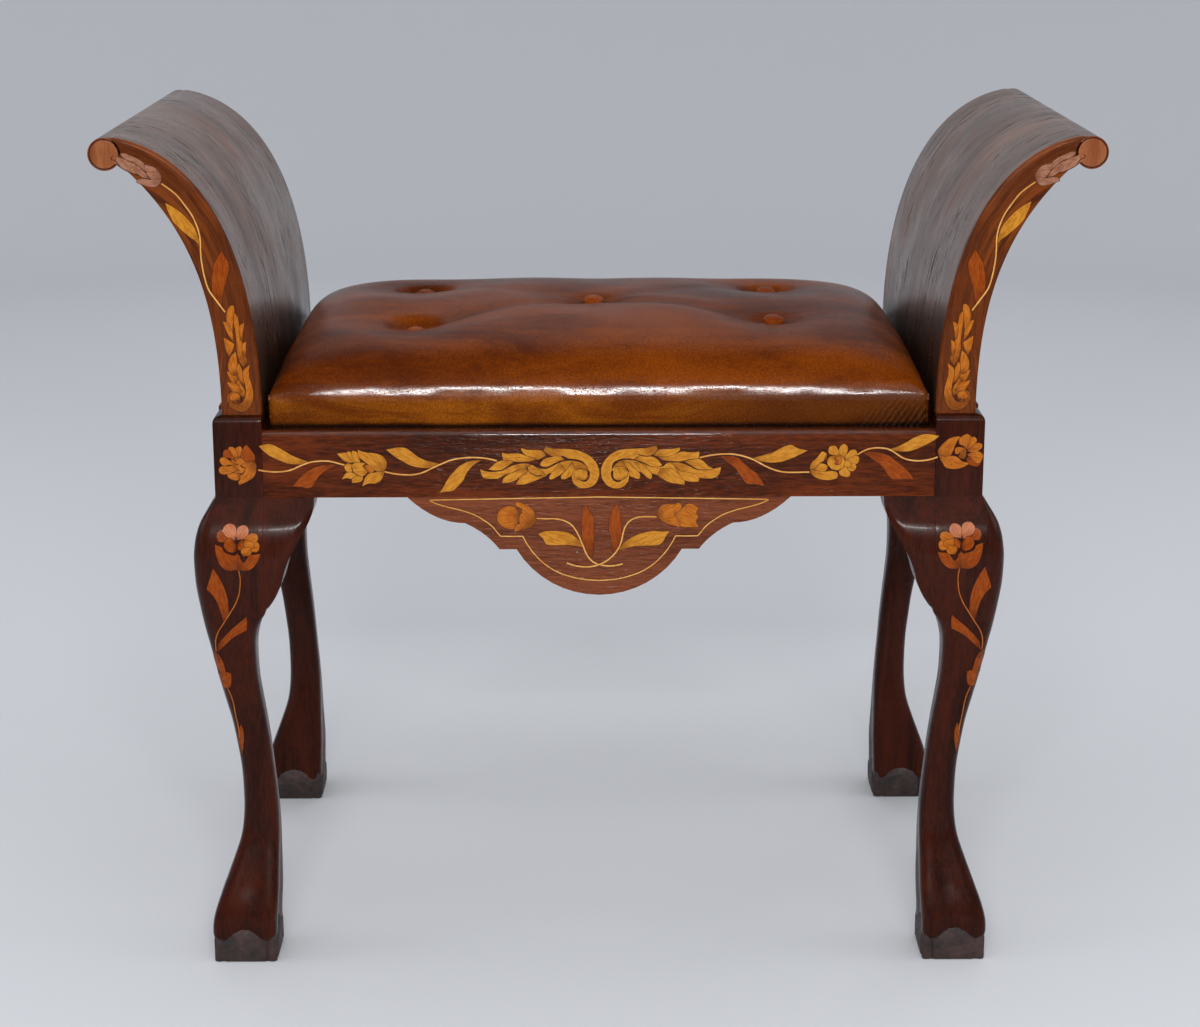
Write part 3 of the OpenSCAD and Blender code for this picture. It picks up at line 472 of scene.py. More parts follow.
pad_walnut = dull_pad()
leg_rings, foot_middle = leg_form()
pad_rings = pad_form(foot_middle)
carved = loft(leg_rings)
faces = carved + loft(pad_rings, len(leg_rings) * len(leg_rings[0]))
for end_name, end in ENDS:
    for side_name, side in SIDES:
        name = f"leg_{end_name}_{side_name}"
        points = [
            (side * (POST_OUT_X + x), end * (POST_OUT_Y + y), z)
            for ring in leg_rings + pad_rings for x, y, z in ring
        ]
        leg = new_piece(name + "_carved", points, faces, (leg_walnut, pad_walnut), 40)
        for face in leg.data.polygons:
            from_x = abs(abs(face.center.x) / MM - POST_OUT_X - foot_middle[0])
            from_y = abs(abs(face.center.y) / MM - POST_OUT_Y - foot_middle[1])
            inside = face.center.z < PAD_TOP * MM and max(from_x, from_y) < PAD_HALF + PAD_ROUGH
            face.material_index = int(inside and face.index >= len(carved))
        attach(leg, "frame")
        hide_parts(name)

# Knee blocks
# Eight carved walnut blocks, glued beside the knees under the rails. Their faces carry the swell of
# the knee on and end in a thin edge that sweeps up to the rail.
KNEE_BACK = 25
KNEE_EDGE_ROUND = 7.0
KNEE_EDGE_DROP = 3.2
KNEE_FACE_STEPS = 12
# Height, and how far the block's free edge is from the post's outer face
knee_rows = [
    (388, 77.3), (380, 76.8), (370, 73.2), (360, 67.6), (350, 62.0), (340, 56.8), (330, 53.2),
    (320, 50.4), (310, 45.8), (302, 40.6), (300, 38.4),
]


def knee_block_rings():
    """Rings of the block beside the leg, from the rail down: its face, then its flat back."""
    rings = []
    leg_face = smooth_line([row[:2] for row in leg_rows[:12]], 200)[::-1]
    for z, edge in smooth_line(knee_rows, 40):
        bulge = float(np.interp(z, leg_face[:, 0], leg_face[:, 1]))
        ring = []
        for k in range(KNEE_FACE_STEPS + 1):
            share = k / KNEE_FACE_STEPS
            x = -POST_W - share * (edge - POST_W)
            near = max(0, 1 - (edge + x) / KNEE_EDGE_ROUND)
            lean = 1.2 * share ** 2 * min(1, max(0, (KNEE_TOP - z) / 30))
            ring.append((x, bulge - KNEE_EDGE_DROP * near ** 2 * min(1, (KNEE_TOP - z) / 14) - lean, z))
        ring += [(-edge, -KNEE_BACK, z), (-POST_W, -KNEE_BACK, z)]
        rings.append(ring)
    return rings


knee_rings = knee_block_rings()
for end_name, end in ENDS:
    for side_name, side in SIDES:
        for place, along_rail in ((end_name, True), ("side", False)):
            points = []
            for ring in knee_rings:
                for x, y, z in ring:
                    across, deep = (x, y) if along_rail else (y, x)
                    points.append((side * (POST_OUT_X + across), end * (POST_OUT_Y + deep), z))
            node = f"knee_block_{end_name}_{side_name}_{place}"
            block = new_piece(node + "_carved", points, loft(knee_rings), (leg_walnut,), 40)
            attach(block, "frame")
            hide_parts(node)

# Front and rear rails
# Solid mahogany-coloured walnut, tenoned between the posts flush with their outer faces. The upper
# edge is rounded, and a rebate behind it holds the seat.


def ease_edges(piece, width, segments, sharp_angle):
    """Rounds those edges of the active piece that are sharper than an angle."""
    easing = piece.modifiers.new("eased edges", "BEVEL")
    easing.width = width * MM
    easing.segments = segments
    easing.limit_method = "ANGLE"
    easing.angle_limit = math.radians(sharp_angle)
    bpy.ops.object.modifier_apply(modifier=easing.name)


def eased_copy(node, body, material, width):
    """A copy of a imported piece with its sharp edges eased, which stands for it."""
    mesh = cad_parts[node].data.copy()
    piece = bpy.data.objects.new(node + "_finished", mesh)
    bpy.context.scene.collection.objects.link(piece)
    mesh.materials.clear()
    mesh.materials.append(material)
    select(piece)
    bpy.ops.object.mode_set(mode="EDIT")
    bpy.ops.mesh.select_all(action="SELECT")
    bpy.ops.mesh.remove_doubles(threshold=0.00001)
    bpy.ops.mesh.dissolve_limited(angle_limit=math.radians(0.5))
    bpy.ops.object.mode_set(mode="OBJECT")
    ease_edges(piece, width, 2, 32)
    bpy.ops.object.shade_smooth_by_angle(angle=math.radians(35))
    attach(piece, body)
    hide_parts(node)
    return piece


RUBBED_EDGE = 3.2
rail_walnut = polished_wood(
    "rail_walnut", colour(48, 17, 4), colour(110, 46, 13), "X", figure=0.75, pore=0.6, gloss=0.11,
    open_grain=13.0, rubbed_z=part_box("front_rail")[1][2] - RUBBED_EDGE * MM)
for node in ("front_rail", "rear_rail"):
    eased_copy(node, "frame", rail_walnut, 0.5)

# Side rails
# As thick as the posts and as high, tenoned between them. The arms stand on them.
side_rail_walnut = polished_wood("side_rail_walnut", colour(46, 16, 5), colour(92, 38, 14), "Y", 0.75, 0.6)
for node in ("left_rail", "right_rail"):
    eased_copy(node, "frame", side_rail_walnut, 0.5)

# Aprons
# Sawn to a shaped outline with a deep round lobe in the middle, then glued and dowelled under the
# front and rear rails.
apron_walnut = polished_wood(
    "apron_walnut", colour(68, 29, 14), colour(122, 64, 38), "X", figure=0.7, pore=0.6, gloss=0.13,
    open_grain=16.0)
for node in ("front_apron", "rear_apron"):
    eased_copy(node, "frame", apron_walnut, 0.8)


def raw_wood(name, dark, light, grain, rings=0.5):
    """Planed softwood or beech, unpolished inside the stool: bands of growth and fine fibre."""
    finish = Finish(name)
    growth = finish.noise(finish.along(grain, 0.05), 60, 3, 0.55, 0.6)
    fibre = finish.noise(finish.along(grain, 0.08), 700, 3, 0.6)
    tone = finish.range(growth * (1 - rings * 0.5) + fibre * (rings * 0.5), 0.34, 0.64)
    age = finish.range(finish.noise(finish.place(), 22, 3, 0.6), 0.35, 0.7)
    return finish.surface(
        Base_Color=finish.blend(age * 0.35, finish.blend(tone, dark, light), colour(116, 88, 56)),
        Roughness=0.66 + fibre * 0.16,
        Normal=finish.bump(fibre + growth * 0.4, 0.00025, 0.6),
    )


beech_along_z = raw_wood("beech_dowel_wood", colour(160, 118, 76), colour(206, 166, 116), "Z", 0.3)


def refinish(node, material):
    """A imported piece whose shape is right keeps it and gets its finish."""
    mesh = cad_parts[node].data
    mesh.materials.clear()
    mesh.materials.append(material)


refinish("apron_dowels", beech_along_z)

# Corner blocks, their screws, and the ledgers
# Three-cornered pine blocks are glued and screwed into the corners, and pine battens carry the loose
# seat along the side rails.
pine_tones = (colour(158, 116, 70), colour(206, 164, 108))
block_pine = raw_wood("block_pine", *pine_tones, "Z", 0.7)
for node in ("corner_block_front_left", "corner_block_front_right",
             "corner_block_rear_left", "corner_block_rear_right"):
    eased_copy(node, "frame", block_pine, 0.6)


def old_steel():
    """Iron screws and tacks, gone grey-brown with age."""
    finish = Finish("old_steel")
    rust = finish.range(finish.noise(finish.place(), 420, 4, 0.7), 0.45, 0.68)
    return finish.surface(
        Base_Color=finish.blend(rust, colour(128, 126, 124), colour(96, 66, 48)),
        Metallic=0.95 - rust * 0.8,
        Roughness=0.34 + rust * 0.4,
        Normal=finish.bump(rust, 0.0001, 0.5),
    )


steel_grey = old_steel()
refinish("corner_block_screws", steel_grey)
ledger_pine = raw_wood("ledger_pine", *pine_tones, "Y", 0.7)
for node in ("ledger_left", "ledger_right"):
    eased_copy(node, "frame", ledger_pine, 0.8)

# Arm stiles
# The shaped uprights at the front and rear end of each arm, sawn to the scroll's curve and dowelled
# to the posts. Their outer end takes the full thickness, with a rounded edge towards the sitter.
ARM_X = 262
ARM_THICK = 31
ARM_LOW = 453
ARM_OUT_Y = 185
STILE_DEEP = 30
STILE_MIDWAY = 16.0
LIP_DEEP = 3.5
LIP_ROUND = 3.3
LIP_STEPS = 6
OUTER_ROUND = 1.2
OUTER_STEPS = 4
ROLL_X = 374
ROLL_Z = 655
ROLL_R = 12.5
ROLL_MEET = 100
VENEER = 1.0
VENEER_REBATE = 1.15
ARM_STEPS = 56
SPAN_STEPS = 10
INNER_END = 0.955
OUTER_MEET = 213.5
COVE_FROM = 0.86
inner_curve = np.array([
    (ARM_X, ARM_LOW), (ARM_X, 627.1), (330.2, 661.3), (365.8, 667.5),
])
outer_curve = np.array([
    (ARM_X + ARM_THICK, ARM_LOW), (ARM_X + ARM_THICK, 525.7), (302.2, 593.2), (363.4, 647.9),
])


def bezier(curve, t):
    """The point at a share t of a curve that its two end points and two handles give."""
    return ((1 - t) ** 3 * curve[0] + 3 * t * (1 - t) ** 2 * curve[1]
            + 3 * t * t * (1 - t) * curve[2] + t ** 3 * curve[3])


def on_roll(angle):
    """A point on the roll's section, at an angle in degrees."""
    turn = math.radians(angle)
    return np.array((ROLL_X + ROLL_R * math.cos(turn), ROLL_Z + ROLL_R * math.sin(turn)))


def inner_face(share):
    """The face towards the sitter, from the post to where it runs on to the roll."""
    if share <= INNER_END:
        return bezier(inner_curve, share / INNER_END)
    step = (share - INNER_END) / (1 - INNER_END)
    return (1 - step) * inner_curve[3] + step * on_roll(ROLL_MEET)


def outer_face(share):
    """The face away from the sitter."""
    return bezier(outer_curve, share)


def arm_point(share, across):
    """A point of the arm's section, from 0 at the inner face to 1 at the outer. At the top its end is
    hollowed to fit round the roll."""
    inner = inner_face(share)
    outer = outer_face(share)
    if share <= COVE_FROM:
        return (1 - across) * inner + across * outer
    step = (share - COVE_FROM) / (1 - COVE_FROM)
    low_inner = inner_face(COVE_FROM)
    low_outer = outer_face(COVE_FROM)
    high_inner = on_roll(ROLL_MEET)
    high_outer = on_roll(OUTER_MEET)
    low = (1 - across) * low_inner + across * low_outer
    high = on_roll(ROLL_MEET + across * (OUTER_MEET - ROLL_MEET))
    straight = (1 - step) * low + step * high
    straight += (1 - across) * (inner - (1 - step) * low_inner - step * high_inner)
    return straight + across * (outer - (1 - step) * low_outer - step * high_outer)


def stile_section(thick):
    """Share across the thickness and distance behind the arm's end, round the stile's section."""
    rebate = VENEER_REBATE / thick
    section = [(rebate, STILE_DEEP), (rebate, STILE_MIDWAY), (rebate, LIP_DEEP), (0.0, LIP_DEEP)]
    for k in range(1, LIP_STEPS + 1):
        bend = math.pi / 2 * k / LIP_STEPS
        section.append((LIP_ROUND * (1 - math.cos(bend)) / thick, LIP_ROUND * (1 - math.sin(bend))))
    start = LIP_ROUND / thick
    stop = 1 - OUTER_ROUND / thick
    section += [(start + (stop - start) * k / SPAN_STEPS, 0.0) for k in range(1, SPAN_STEPS)]
    for k in range(OUTER_STEPS + 1):
        bend = math.pi / 2 * k / OUTER_STEPS
        section.append((stop + OUTER_ROUND * math.sin(bend) / thick, OUTER_ROUND * (1 - math.cos(bend))))
    section += [(1.0, LIP_DEEP)]
    section += [(1 - rebate, deep) for deep in (LIP_DEEP, STILE_MIDWAY, STILE_DEEP)]
    section += [(1 - rebate - (1 - 2 * rebate) * k / SPAN_STEPS, STILE_DEEP) for k in range(1, SPAN_STEPS)]
    return section


def set_map(piece, name, places):
    """A UV map with one pair of values for each point of the mesh. The map of the grain is in
    metres along the grain and across it."""
    corners_of = np.zeros(len(piece.data.loops), int)
    piece.data.loops.foreach_get("vertex_index", corners_of)
    layer = piece.data.uv_layers.new(name=name)
    layer.data.foreach_set("uv", np.array(places)[corners_of].ravel())


def arm_stations(steps=ARM_STEPS):
    """Shares of the arm's height, closer together near the roll."""
    return [1 - (1 - k / steps) ** 1.15 for k in range(steps + 1)]


def stile_form(side, end):
    """Points of a stile, the places of its points on the grain, and its faces."""
    points = []
    runs = []
    rings = []
    travelled = 0.0
    before = arm_point(0, 0.5)
    for share in arm_stations():
        thick = float(np.linalg.norm(arm_point(share, 0) - arm_point(share, 1)))
        middle = arm_point(share, 0.5)
        travelled += float(np.linalg.norm(middle - before))
        before = middle
        ring = []
        for across, deep in stile_section(thick):
            x, z = arm_point(share, across)
            ring.append((x, z))
            points.append((side * x, end * (ARM_OUT_Y - deep), z))
            runs.append((travelled * MM, across * thick * MM + deep * MM * 0.3))
        rings.append(ring)
    return points, runs, loft(rings)


def arm_front_wood():
    """Red-brown walnut ground of the arms' ends. Its grain follows the curve."""
    finish = Finish("arm_front_walnut")
    broad = finish.noise(finish.with_grain(0.10), 90, 4, 0.6, 1.2)
    fibre = finish.noise(finish.with_grain(0.12), 900, 3, 0.6)
    pores = finish.range(fibre, 0.60, 0.72)
    tone = finish.range(broad * 0.7 + fibre * 0.3, 0.34, 0.66)
    wood = finish.blend(tone, colour(64, 26, 7), colour(116, 55, 14))
    wood = finish.blend(pores * 0.4, wood, colour(52, 22, 14))
    worn = finish.noise(finish.place(), 18, 3, 0.6)
    return finish.surface(
        Base_Color=wood,
        Roughness=finish.range(worn, 0.3, 0.7, 0.18, 0.32),
        Normal=finish.bump(worn * 0.7 + fibre * 0.2 - pores * 0.5, 0.0002, 0.5),
        Specular_IOR_Level=POLISH_SHINE,
        Coat_Weight=0.05,
        Coat_Roughness=0.08,
    )


arm_ground = arm_front_wood()
for side_name, side in SIDES:
    for end_name, end in ENDS:
        node = f"arm_{side_name}_{end_name}_stile"
        points, runs, faces = stile_form(side, end)
        stile = new_piece(node + "_sawn", points, faces, (arm_ground,), 40)
        set_map(stile, "grain", runs)
        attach(stile, "frame")
        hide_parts(node)

# Arm staves and dowels
# Six bevelled pine staves fill each arm between its stiles, hidden by the veneers. Two beech dowels
# hold each stile to its post.
stave_pine = raw_wood("stave_pine", *pine_tones, "Y", 0.7)
refinish("arm_left_staves", stave_pine)
refinish("arm_right_staves", stave_pine)
refinish("arm_dowels", beech_along_z)

# Arm veneers
# Sheets of walnut veneer bent over the arm: the inner one runs from the post up and over the roll,
# the outer one up to the roll. Old knocks, filled shakes and fine cracks follow the grain.
VENEER_Y = ARM_OUT_Y - LIP_DEEP
VENEER_ROWS = 14
OVER_ROLL = 28
OVER_ROLL_STEPS = 14
BEND_STEPS = 64
OVER_ROLL_THICK = 0.6


def veneer_form(path, thick, side, half):
    """A closed sheet along a line in X and Z, from -half to half in Y. It lies to the right of the
    line, as thick as given at each point."""
    path = np.array(path)
    step = np.gradient(path, axis=0)
    step /= np.linalg.norm(step, axis=1)[:, None]
    normal = np.stack([step[:, 1], -step[:, 0]], axis=1)
    run = np.concatenate([[0], np.cumsum(np.linalg.norm(np.diff(path, axis=0), axis=1))])
    points = []
    runs = []
    rings = []
    for k in range(len(path)):
        ring = []
        for depth, order in ((0, 1), (thick[k], -1)):
            for row in range(VENEER_ROWS + 1)[::order]:
                y = -half + 2 * half * row / VENEER_ROWS
                x, z = path[k] + depth * normal[k]
                ring.append((x, y, z))
                points.append((side * x, y, z))
                runs.append((run[k] * MM, (y + side * 500) * MM))
        rings.append(ring)
    return points, runs, loft(rings)


def worn_veneer(name, dark, light, glow, cracks, painted_dark_band):
    """Walnut veneer whose grain and short shakes follow the bend, under an old polish. Low down beside
    the seat a painted reflection darkens it, standing for the dark seat mirrored in the polish."""
    finish = Finish(name)
    broad = finish.noise(finish.with_grain(0.16), 26, 4, 0.62, 1.6)
    fibre = finish.noise(finish.with_grain(0.07), 620, 4, 0.65, 0.3)
    streak = finish.range(finish.noise(finish.with_grain(0.10), 64, 3, 0.6, 1.0), 0.56, 0.70)
    shakes = finish.range(finish.noise(finish.with_grain(0.14), 210, 2, 0.5, 0.9), 0.60, 0.645)
    zones = finish.range(finish.noise(finish.with_grain(0.6), 14, 2, 0.5), 0.42, 0.60)
    crack = shakes * (0.2 + zones * 0.8) * cracks
    tone = finish.range(broad * 0.62 + fibre * 0.38, 0.33, 0.66)
    wood = finish.blend(tone, dark, light)
    wood = finish.blend(streak * 0.5, wood, glow)
    wood = finish.blend(crack, wood, colour(22, 14, 11))
    spot = finish.spot()
    height = spot.output(2) + spot.output(1) * 0.16
    # Painted reflection: below a slanting line beside the seat, the colour goes nearly black, as if the seat
    # were mirrored in the polish.
    wood = finish.blend((1 - finish.range(height, 0.494, 0.518)) * painted_dark_band, wood, colour(20, 12, 9))
    worn = finish.noise(finish.place(), 11, 4, 0.6)
    return finish.surface(
        Base_Color=wood,
        Roughness=finish.range(worn, 0.3, 0.7, 0.22, 0.40) + crack * 0.3,
        Normal=finish.bump(worn * 1.2 + fibre * 0.3 - crack * 1.5, 0.0004, 0.5),
        Specular_IOR_Level=0.26,
        Coat_Weight=0.12,
        Coat_Roughness=0.16,
    )


# The last value is the strength of the painted dark reflection beside the seat.
inner_veneer = worn_veneer(
    "inner_veneer", colour(62, 42, 32), colour(116, 86, 70), colour(150, 88, 58), 1.0, 0.85)
outer_veneer = worn_veneer(
    "outer_veneer", colour(62, 32, 22), colour(108, 60, 38), colour(130, 70, 42), 0.5, 0.0)
inner_path = [inner_face(share) for share in arm_stations(BEND_STEPS)]
inner_path += [on_roll(ROLL_MEET + (OVER_ROLL - ROLL_MEET) * k / OVER_ROLL_STEPS)
               for k in range(1, OVER_ROLL_STEPS + 1)]
inner_thick = [VENEER] * (BEND_STEPS - 2) + [0.8, 0.65] + [OVER_ROLL_THICK] * (OVER_ROLL_STEPS + 1)
outer_path = [outer_face(share) for share in arm_stations(BEND_STEPS)]
outer_thick = [-VENEER] * (BEND_STEPS + 1)
for side_name, side in SIDES:
    for face_name, path, thick, veneer, slot in (
            ("inner", inner_path, inner_thick, inner_veneer, "walnut_veneer"),
            ("outer", outer_path, outer_thick, outer_veneer, "arm_walnut")):
        node = f"arm_{side_name}_{face_name}_veneer"
        points, runs, faces = veneer_form(path, thick, side, VENEER_Y)
        sheet_of_wood = new_piece(node + "_bent", points, faces, (veneer,), 40)
        set_map(sheet_of_wood, "grain", runs)
        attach(sheet_of_wood, "frame")
        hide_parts(node)

# Arm rolls
# A turned walnut rod glued into the hollow along the top of each arm.
ROLL_SIDES = 72
roll_walnut = polished_wood("roll_walnut", colour(58, 30, 21), colour(104, 60, 40), "Y", 0.6, 0.4)


def turned_rod(name, side, y, radius, length):
    """A rod or a disc about the middle line of an arm's roll."""
    deselect()
    bpy.ops.mesh.primitive_cylinder_add(
        vertices=ROLL_SIDES,
        radius=radius * MM,
        depth=length * MM,
        location=(side * ROLL_X * MM, y * MM, ROLL_Z * MM),
        rotation=(math.pi / 2, 0, 0),
    )
    piece = bpy.context.object
    piece.name = name
    bpy.ops.object.transform_apply(location=True, rotation=True, scale=True)
    return piece


for side_name, side in SIDES:
    roll = turned_rod(f"arm_{side_name}_roll_turned", side, 0, ROLL_R - OVER_ROLL_THICK, 2 * VENEER_Y)
    bpy.ops.object.shade_smooth_by_angle(angle=math.radians(40))
    roll.data.materials.append(roll_walnut)
    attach(roll, "frame")
    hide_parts(f"arm_{side_name}_roll")

# Roundels
# A turned disc closes each end of a roll: an orange face inside a dark sunk line and a red rim.
DISC_RIM = 1.0
DISC_LINE = 0.5
DISC_DEEPEST = 1.3
# Width and rise of each step of the disc's face, from the rim inwards
disc_steps = ((DISC_RIM, 0), (0.12, -0.5), (DISC_LINE, 0), (0.12, 0.55), (1.0, 0.12))
roundel_rim = polished_wood("roundel_rim", colour(84, 38, 22), colour(132, 70, 40), "Y", 0.5, 0.2, 0.2)
roundel_face = polished_wood("roundel_face", colour(118, 62, 34), colour(158, 98, 60), "Z", 0.6, 0.3, 0.2)
roundel_line = polished_wood("roundel_line", colour(22, 13, 11), colour(34, 19, 14), "Z", 0.2, 0.1, 0.4)
for side_name, side in SIDES:
    for end_name, end in ENDS:
        name = f"arm_{side_name}_{end_name}_roundel_turned"
        disc = turned_rod(name, side, end * (ARM_OUT_Y - LIP_DEEP / 2), ROLL_R, LIP_DEEP)
        for material in (roundel_rim, roundel_line, roundel_face):
            disc.data.materials.append(material)
        bpy.ops.object.mode_set(mode="EDIT")
        form = bmesh.from_edit_mesh(disc.data)
        for face in form.faces:
            face.select_set(face.normal.y * end > 0.9)
        for wide, rise in disc_steps:
            bpy.ops.mesh.inset(thickness=wide * MM, depth=rise * MM)
        bpy.ops.object.mode_set(mode="OBJECT")
        ease_edges(disc, 0.6, 3, 60)
        bpy.ops.object.shade_smooth_by_angle(angle=math.radians(40))
        for face in disc.data.polygons:
            from_middle = math.hypot(face.center.x - side * ROLL_X * MM, face.center.z - ROLL_Z * MM) / MM
            near_end = face.center.y * end > (ARM_OUT_Y - DISC_DEEPEST) * MM
            if near_end and from_middle < ROLL_R - DISC_RIM - DISC_LINE - 0.25:
                face.material_index = 2
            elif near_end and from_middle < ROLL_R - DISC_RIM:
                face.material_index = 1
        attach(disc, "frame")
        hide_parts(f"arm_{side_name}_{end_name}_roundel")

# Rail marquetry
# Flowers, leaves and stems of dyed and sand-shaded veneer, let into the front rail with a dark glue
# line round each piece and polished over. The rear rail, which is out of sight, is taken to match.
VENEER_PROUD = 0.10
VENEER_SUNK = 0.3
LAYER_STEP = 0.024
GLUE_WIDE = 0.28
MM_PER_PIXEL = 0.781
OUTLINE_STEP = 1.1
line_widths = {"stem": 1.5, "string": 1.2, "thread": 1.0, "cut": 0.75}


def pixel_ray(u, v):
    """Direction from the camera through a pixel of the photograph."""
    across = (u - PHOTO_W / 2) / FOCAL_PIXELS
    up = (PHOTO_H / 2 - v) / FOCAL_PIXELS
    return camera.rotation_euler.to_matrix() @ Vector((across, up, -1))


def on_plane(y_mm):
    """Carries a pixel of the photograph to the upright plane at a Y, and gives its normal."""
    def carry(u, v):
        ray = pixel_ray(u, v)
        return eye + ray * ((y_mm * MM - eye.y) / ray.y), Vector((0, -1, 0))
    return carry


def read_line(text, corner, scale, closed):
    """Smooth line through points that were read off an enlargement of the photograph, given its
    corner and its scale. A stroke marks a sharp corner."""
    arcs = [[[float(part) for part in pair.split(",")] for pair in arc.split()] for arc in text.split("/")]
    places = []
    for order, arc in enumerate(arcs):
        if order:
            arc = [arcs[order - 1][-1]] + arc
        if closed and order == len(arcs) - 1:
            arc = arc + [arcs[0][0]]
        length = sum(math.dist(a, b) for a, b in zip(arc, arc[1:])) / scale
        line = smooth_line(arc, max(3, round(length / OUTLINE_STEP) + 1))
        places += [(corner[0] + x / scale, corner[1] + y / scale) for x, y in line[:-1]]
    if not closed:
        places.append((corner[0] + line[-1][0] / scale, corner[1] + line[-1][1] / scale))
    return places


def ribbon(line, wide):
    """Outline of a strip along a line."""
    line = np.array(line)
    run = np.gradient(line, axis=0)
    side = np.stack([-run[:, 1], run[:, 0]], axis=1) / np.linalg.norm(run, axis=1)[:, None] * wide / 2
    return [tuple(place) for place in np.vstack([line + side, (line - side)[::-1]])]


def widened(outline, by):
    """The outline moved outwards all round."""
    ring = np.array(outline)
    after = np.roll(ring, -1, axis=0) - ring
    turn = np.sign(np.sum(ring[:, 0] * np.roll(ring[:, 1], -1) - ring[:, 1] * np.roll(ring[:, 0], -1)))
    out = np.stack([after[:, 1], -after[:, 0]], axis=1) / np.linalg.norm(after, axis=1)[:, None] * turn
    before = np.roll(out, 1, axis=0)
    corner = np.maximum(0.45, 1 + np.sum(out * before, axis=1))[:, None]
    return [tuple(place) for place in ring + (out + before) / corner * by]


def veneer_piece(outline, lift, carry, cut):
    """One thin closed piece on the wood: its points, its faces and the pixel of each point."""
    rim = [list(range(len(outline)))]
    flat, _, triangles, _, _, _ = delaunay_2d_cdt([Vector(place) for place in outline], [], rim, 1, 0.001)
    sheet = bmesh.new()
    corners_of = [sheet.verts.new((u, v, 0)) for u, v in flat]
    for triangle in triangles:
        sheet.faces.new([corners_of[index] for index in triangle])
    for axis in range(2 if cut else 0):
        normal = [0, 0, 0]
        normal[axis] = 1
        low = math.ceil(min(place[axis] for place in outline) / cut)
        high = math.floor(max(place[axis] for place in outline) / cut)
        for step in range(low, high + 1):
            bmesh.ops.bisect_plane(
                sheet, geom=sheet.verts[:] + sheet.edges[:] + sheet.faces[:],
                plane_co=[step * cut * part for part in normal], plane_no=normal)
    sheet.verts.index_update()
    tops = []
    lows = []
    pixels = [(vert.co.x, vert.co.y) for vert in sheet.verts]
    for pixel in pixels:
        place, normal = carry(*pixel)
        tops.append(place / MM + normal * lift)
        lows.append(place / MM - normal * VENEER_SUNK)
    count = len(tops)
    faces = [[vert.index for vert in face.verts] for face in sheet.faces]
    faces += [[index + count for index in reversed(face)] for face in faces]
    for edge in sheet.edges:
        if edge.is_boundary:
            first, second = (vert.index for vert in edge.verts)
            faces.append([first, second, second + count, first + count])
    sheet.free()
    return tops + lows, faces, pixels * 2


def inlay(name, groups, carry, cut=0):
    """One object of veneer pieces. A group is an enlargement's corner, its scale and its pieces in
    the order in which they overlap. Each piece runs from its root, its first point."""
    points = []
    faces = []
    kinds = []
    maps = {"grain": [], "leaf": []}
    for corner, scale, pieces in groups:
        for order, (wood, text) in enumerate(pieces):
            lift = VENEER_PROUD + LAYER_STEP * order
            outline = read_line(text, corner, scale, wood not in line_widths)
            root = outline[0]
            tip = max(outline, key=lambda place: math.dist(place, root))
            if wood in line_widths:
                outline = ribbon(outline, line_widths[wood])
            layers = [(outline, lift, wood)]
            if wood != "cut":
                layers.insert(0, (widened(outline, GLUE_WIDE / MM_PER_PIXEL), lift - LAYER_STEP / 2, "cut"))
            length = math.dist(root, tip)
            axis = ((tip[0] - root[0]) / length, (tip[1] - root[1]) / length)
            for ring, level, kind in layers:
                placed, formed, pixels = veneer_piece(ring, level, carry, cut)
                faces += [[index + len(points) for index in face] for face in formed]
                kinds += [list(veneers).index(kind)] * len(formed)
                points += placed
                for u, v in pixels:
                    along = (u - root[0]) * axis[0] + (v - root[1]) * axis[1]
                    across = (v - root[1]) * axis[0] - (u - root[0]) * axis[1]
                    unit = MM_PER_PIXEL * MM
                    maps["grain"].append((along * unit + order * 0.031, across * unit + order * 0.017))
                    maps["leaf"].append((along / length, order * 0.37 % 1))
    piece = new_piece(name, points, faces, veneers.values(), 50, weld=False)
    piece.data.polygons.foreach_set("material_index", kinds)
    for label, places in maps.items():
        set_map(piece, label, places)
    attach(piece, "frame")
    return piece


def copied(piece, name, mirrored=False, turned=False):
    """A copy of the inlay for another corner, mirrored to the other side or turned to the rear."""
    other = piece.copy()
    other.data = piece.data.copy()
    other.name = name
    bpy.context.scene.collection.objects.link(other)
    if mirrored:
        other.data.transform(Matrix.Scale(-1, 4, (1, 0, 0)))
        other.data.flip_normals()
    if turned:
        other.data.transform(Matrix.Rotation(math.pi, 4, "Z"))
    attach(other, "frame")
    return other


def inlay_wood(name, dark, light, scorched):
    """Dyed veneer under polish: fine streaks along each piece, its root darkened in hot sand."""
    finish = Finish(name)
    streak = finish.noise(finish.with_grain(0.14), 850, 4, 0.65, 0.3)
    root = finish.node("SeparateXYZ", None, {0: finish.node("UVMap", {"uv_map": "leaf"})})
    cloud = finish.noise(finish.place(), 130, 3, 0.6)
    veneer = finish.blend(finish.range(streak * 0.75 + cloud * 0.25, 0.33, 0.64), dark, light)
    shade = finish.range(root + cloud * 0.3 - 0.15, 0.42, 0.0)
    veneer = finish.blend(shade * 0.62, veneer, scorched)
    return finish.surface(
        Base_Color=veneer,
        Roughness=finish.range(cloud, 0.3, 0.7, 0.22, 0.32),
        Normal=finish.bump(streak * 0.5 + cloud, 0.0002, 0.4),
        Specular_IOR_Level=POLISH_SHINE,
        Coat_Weight=0.05,
        Coat_Roughness=0.09,
    )


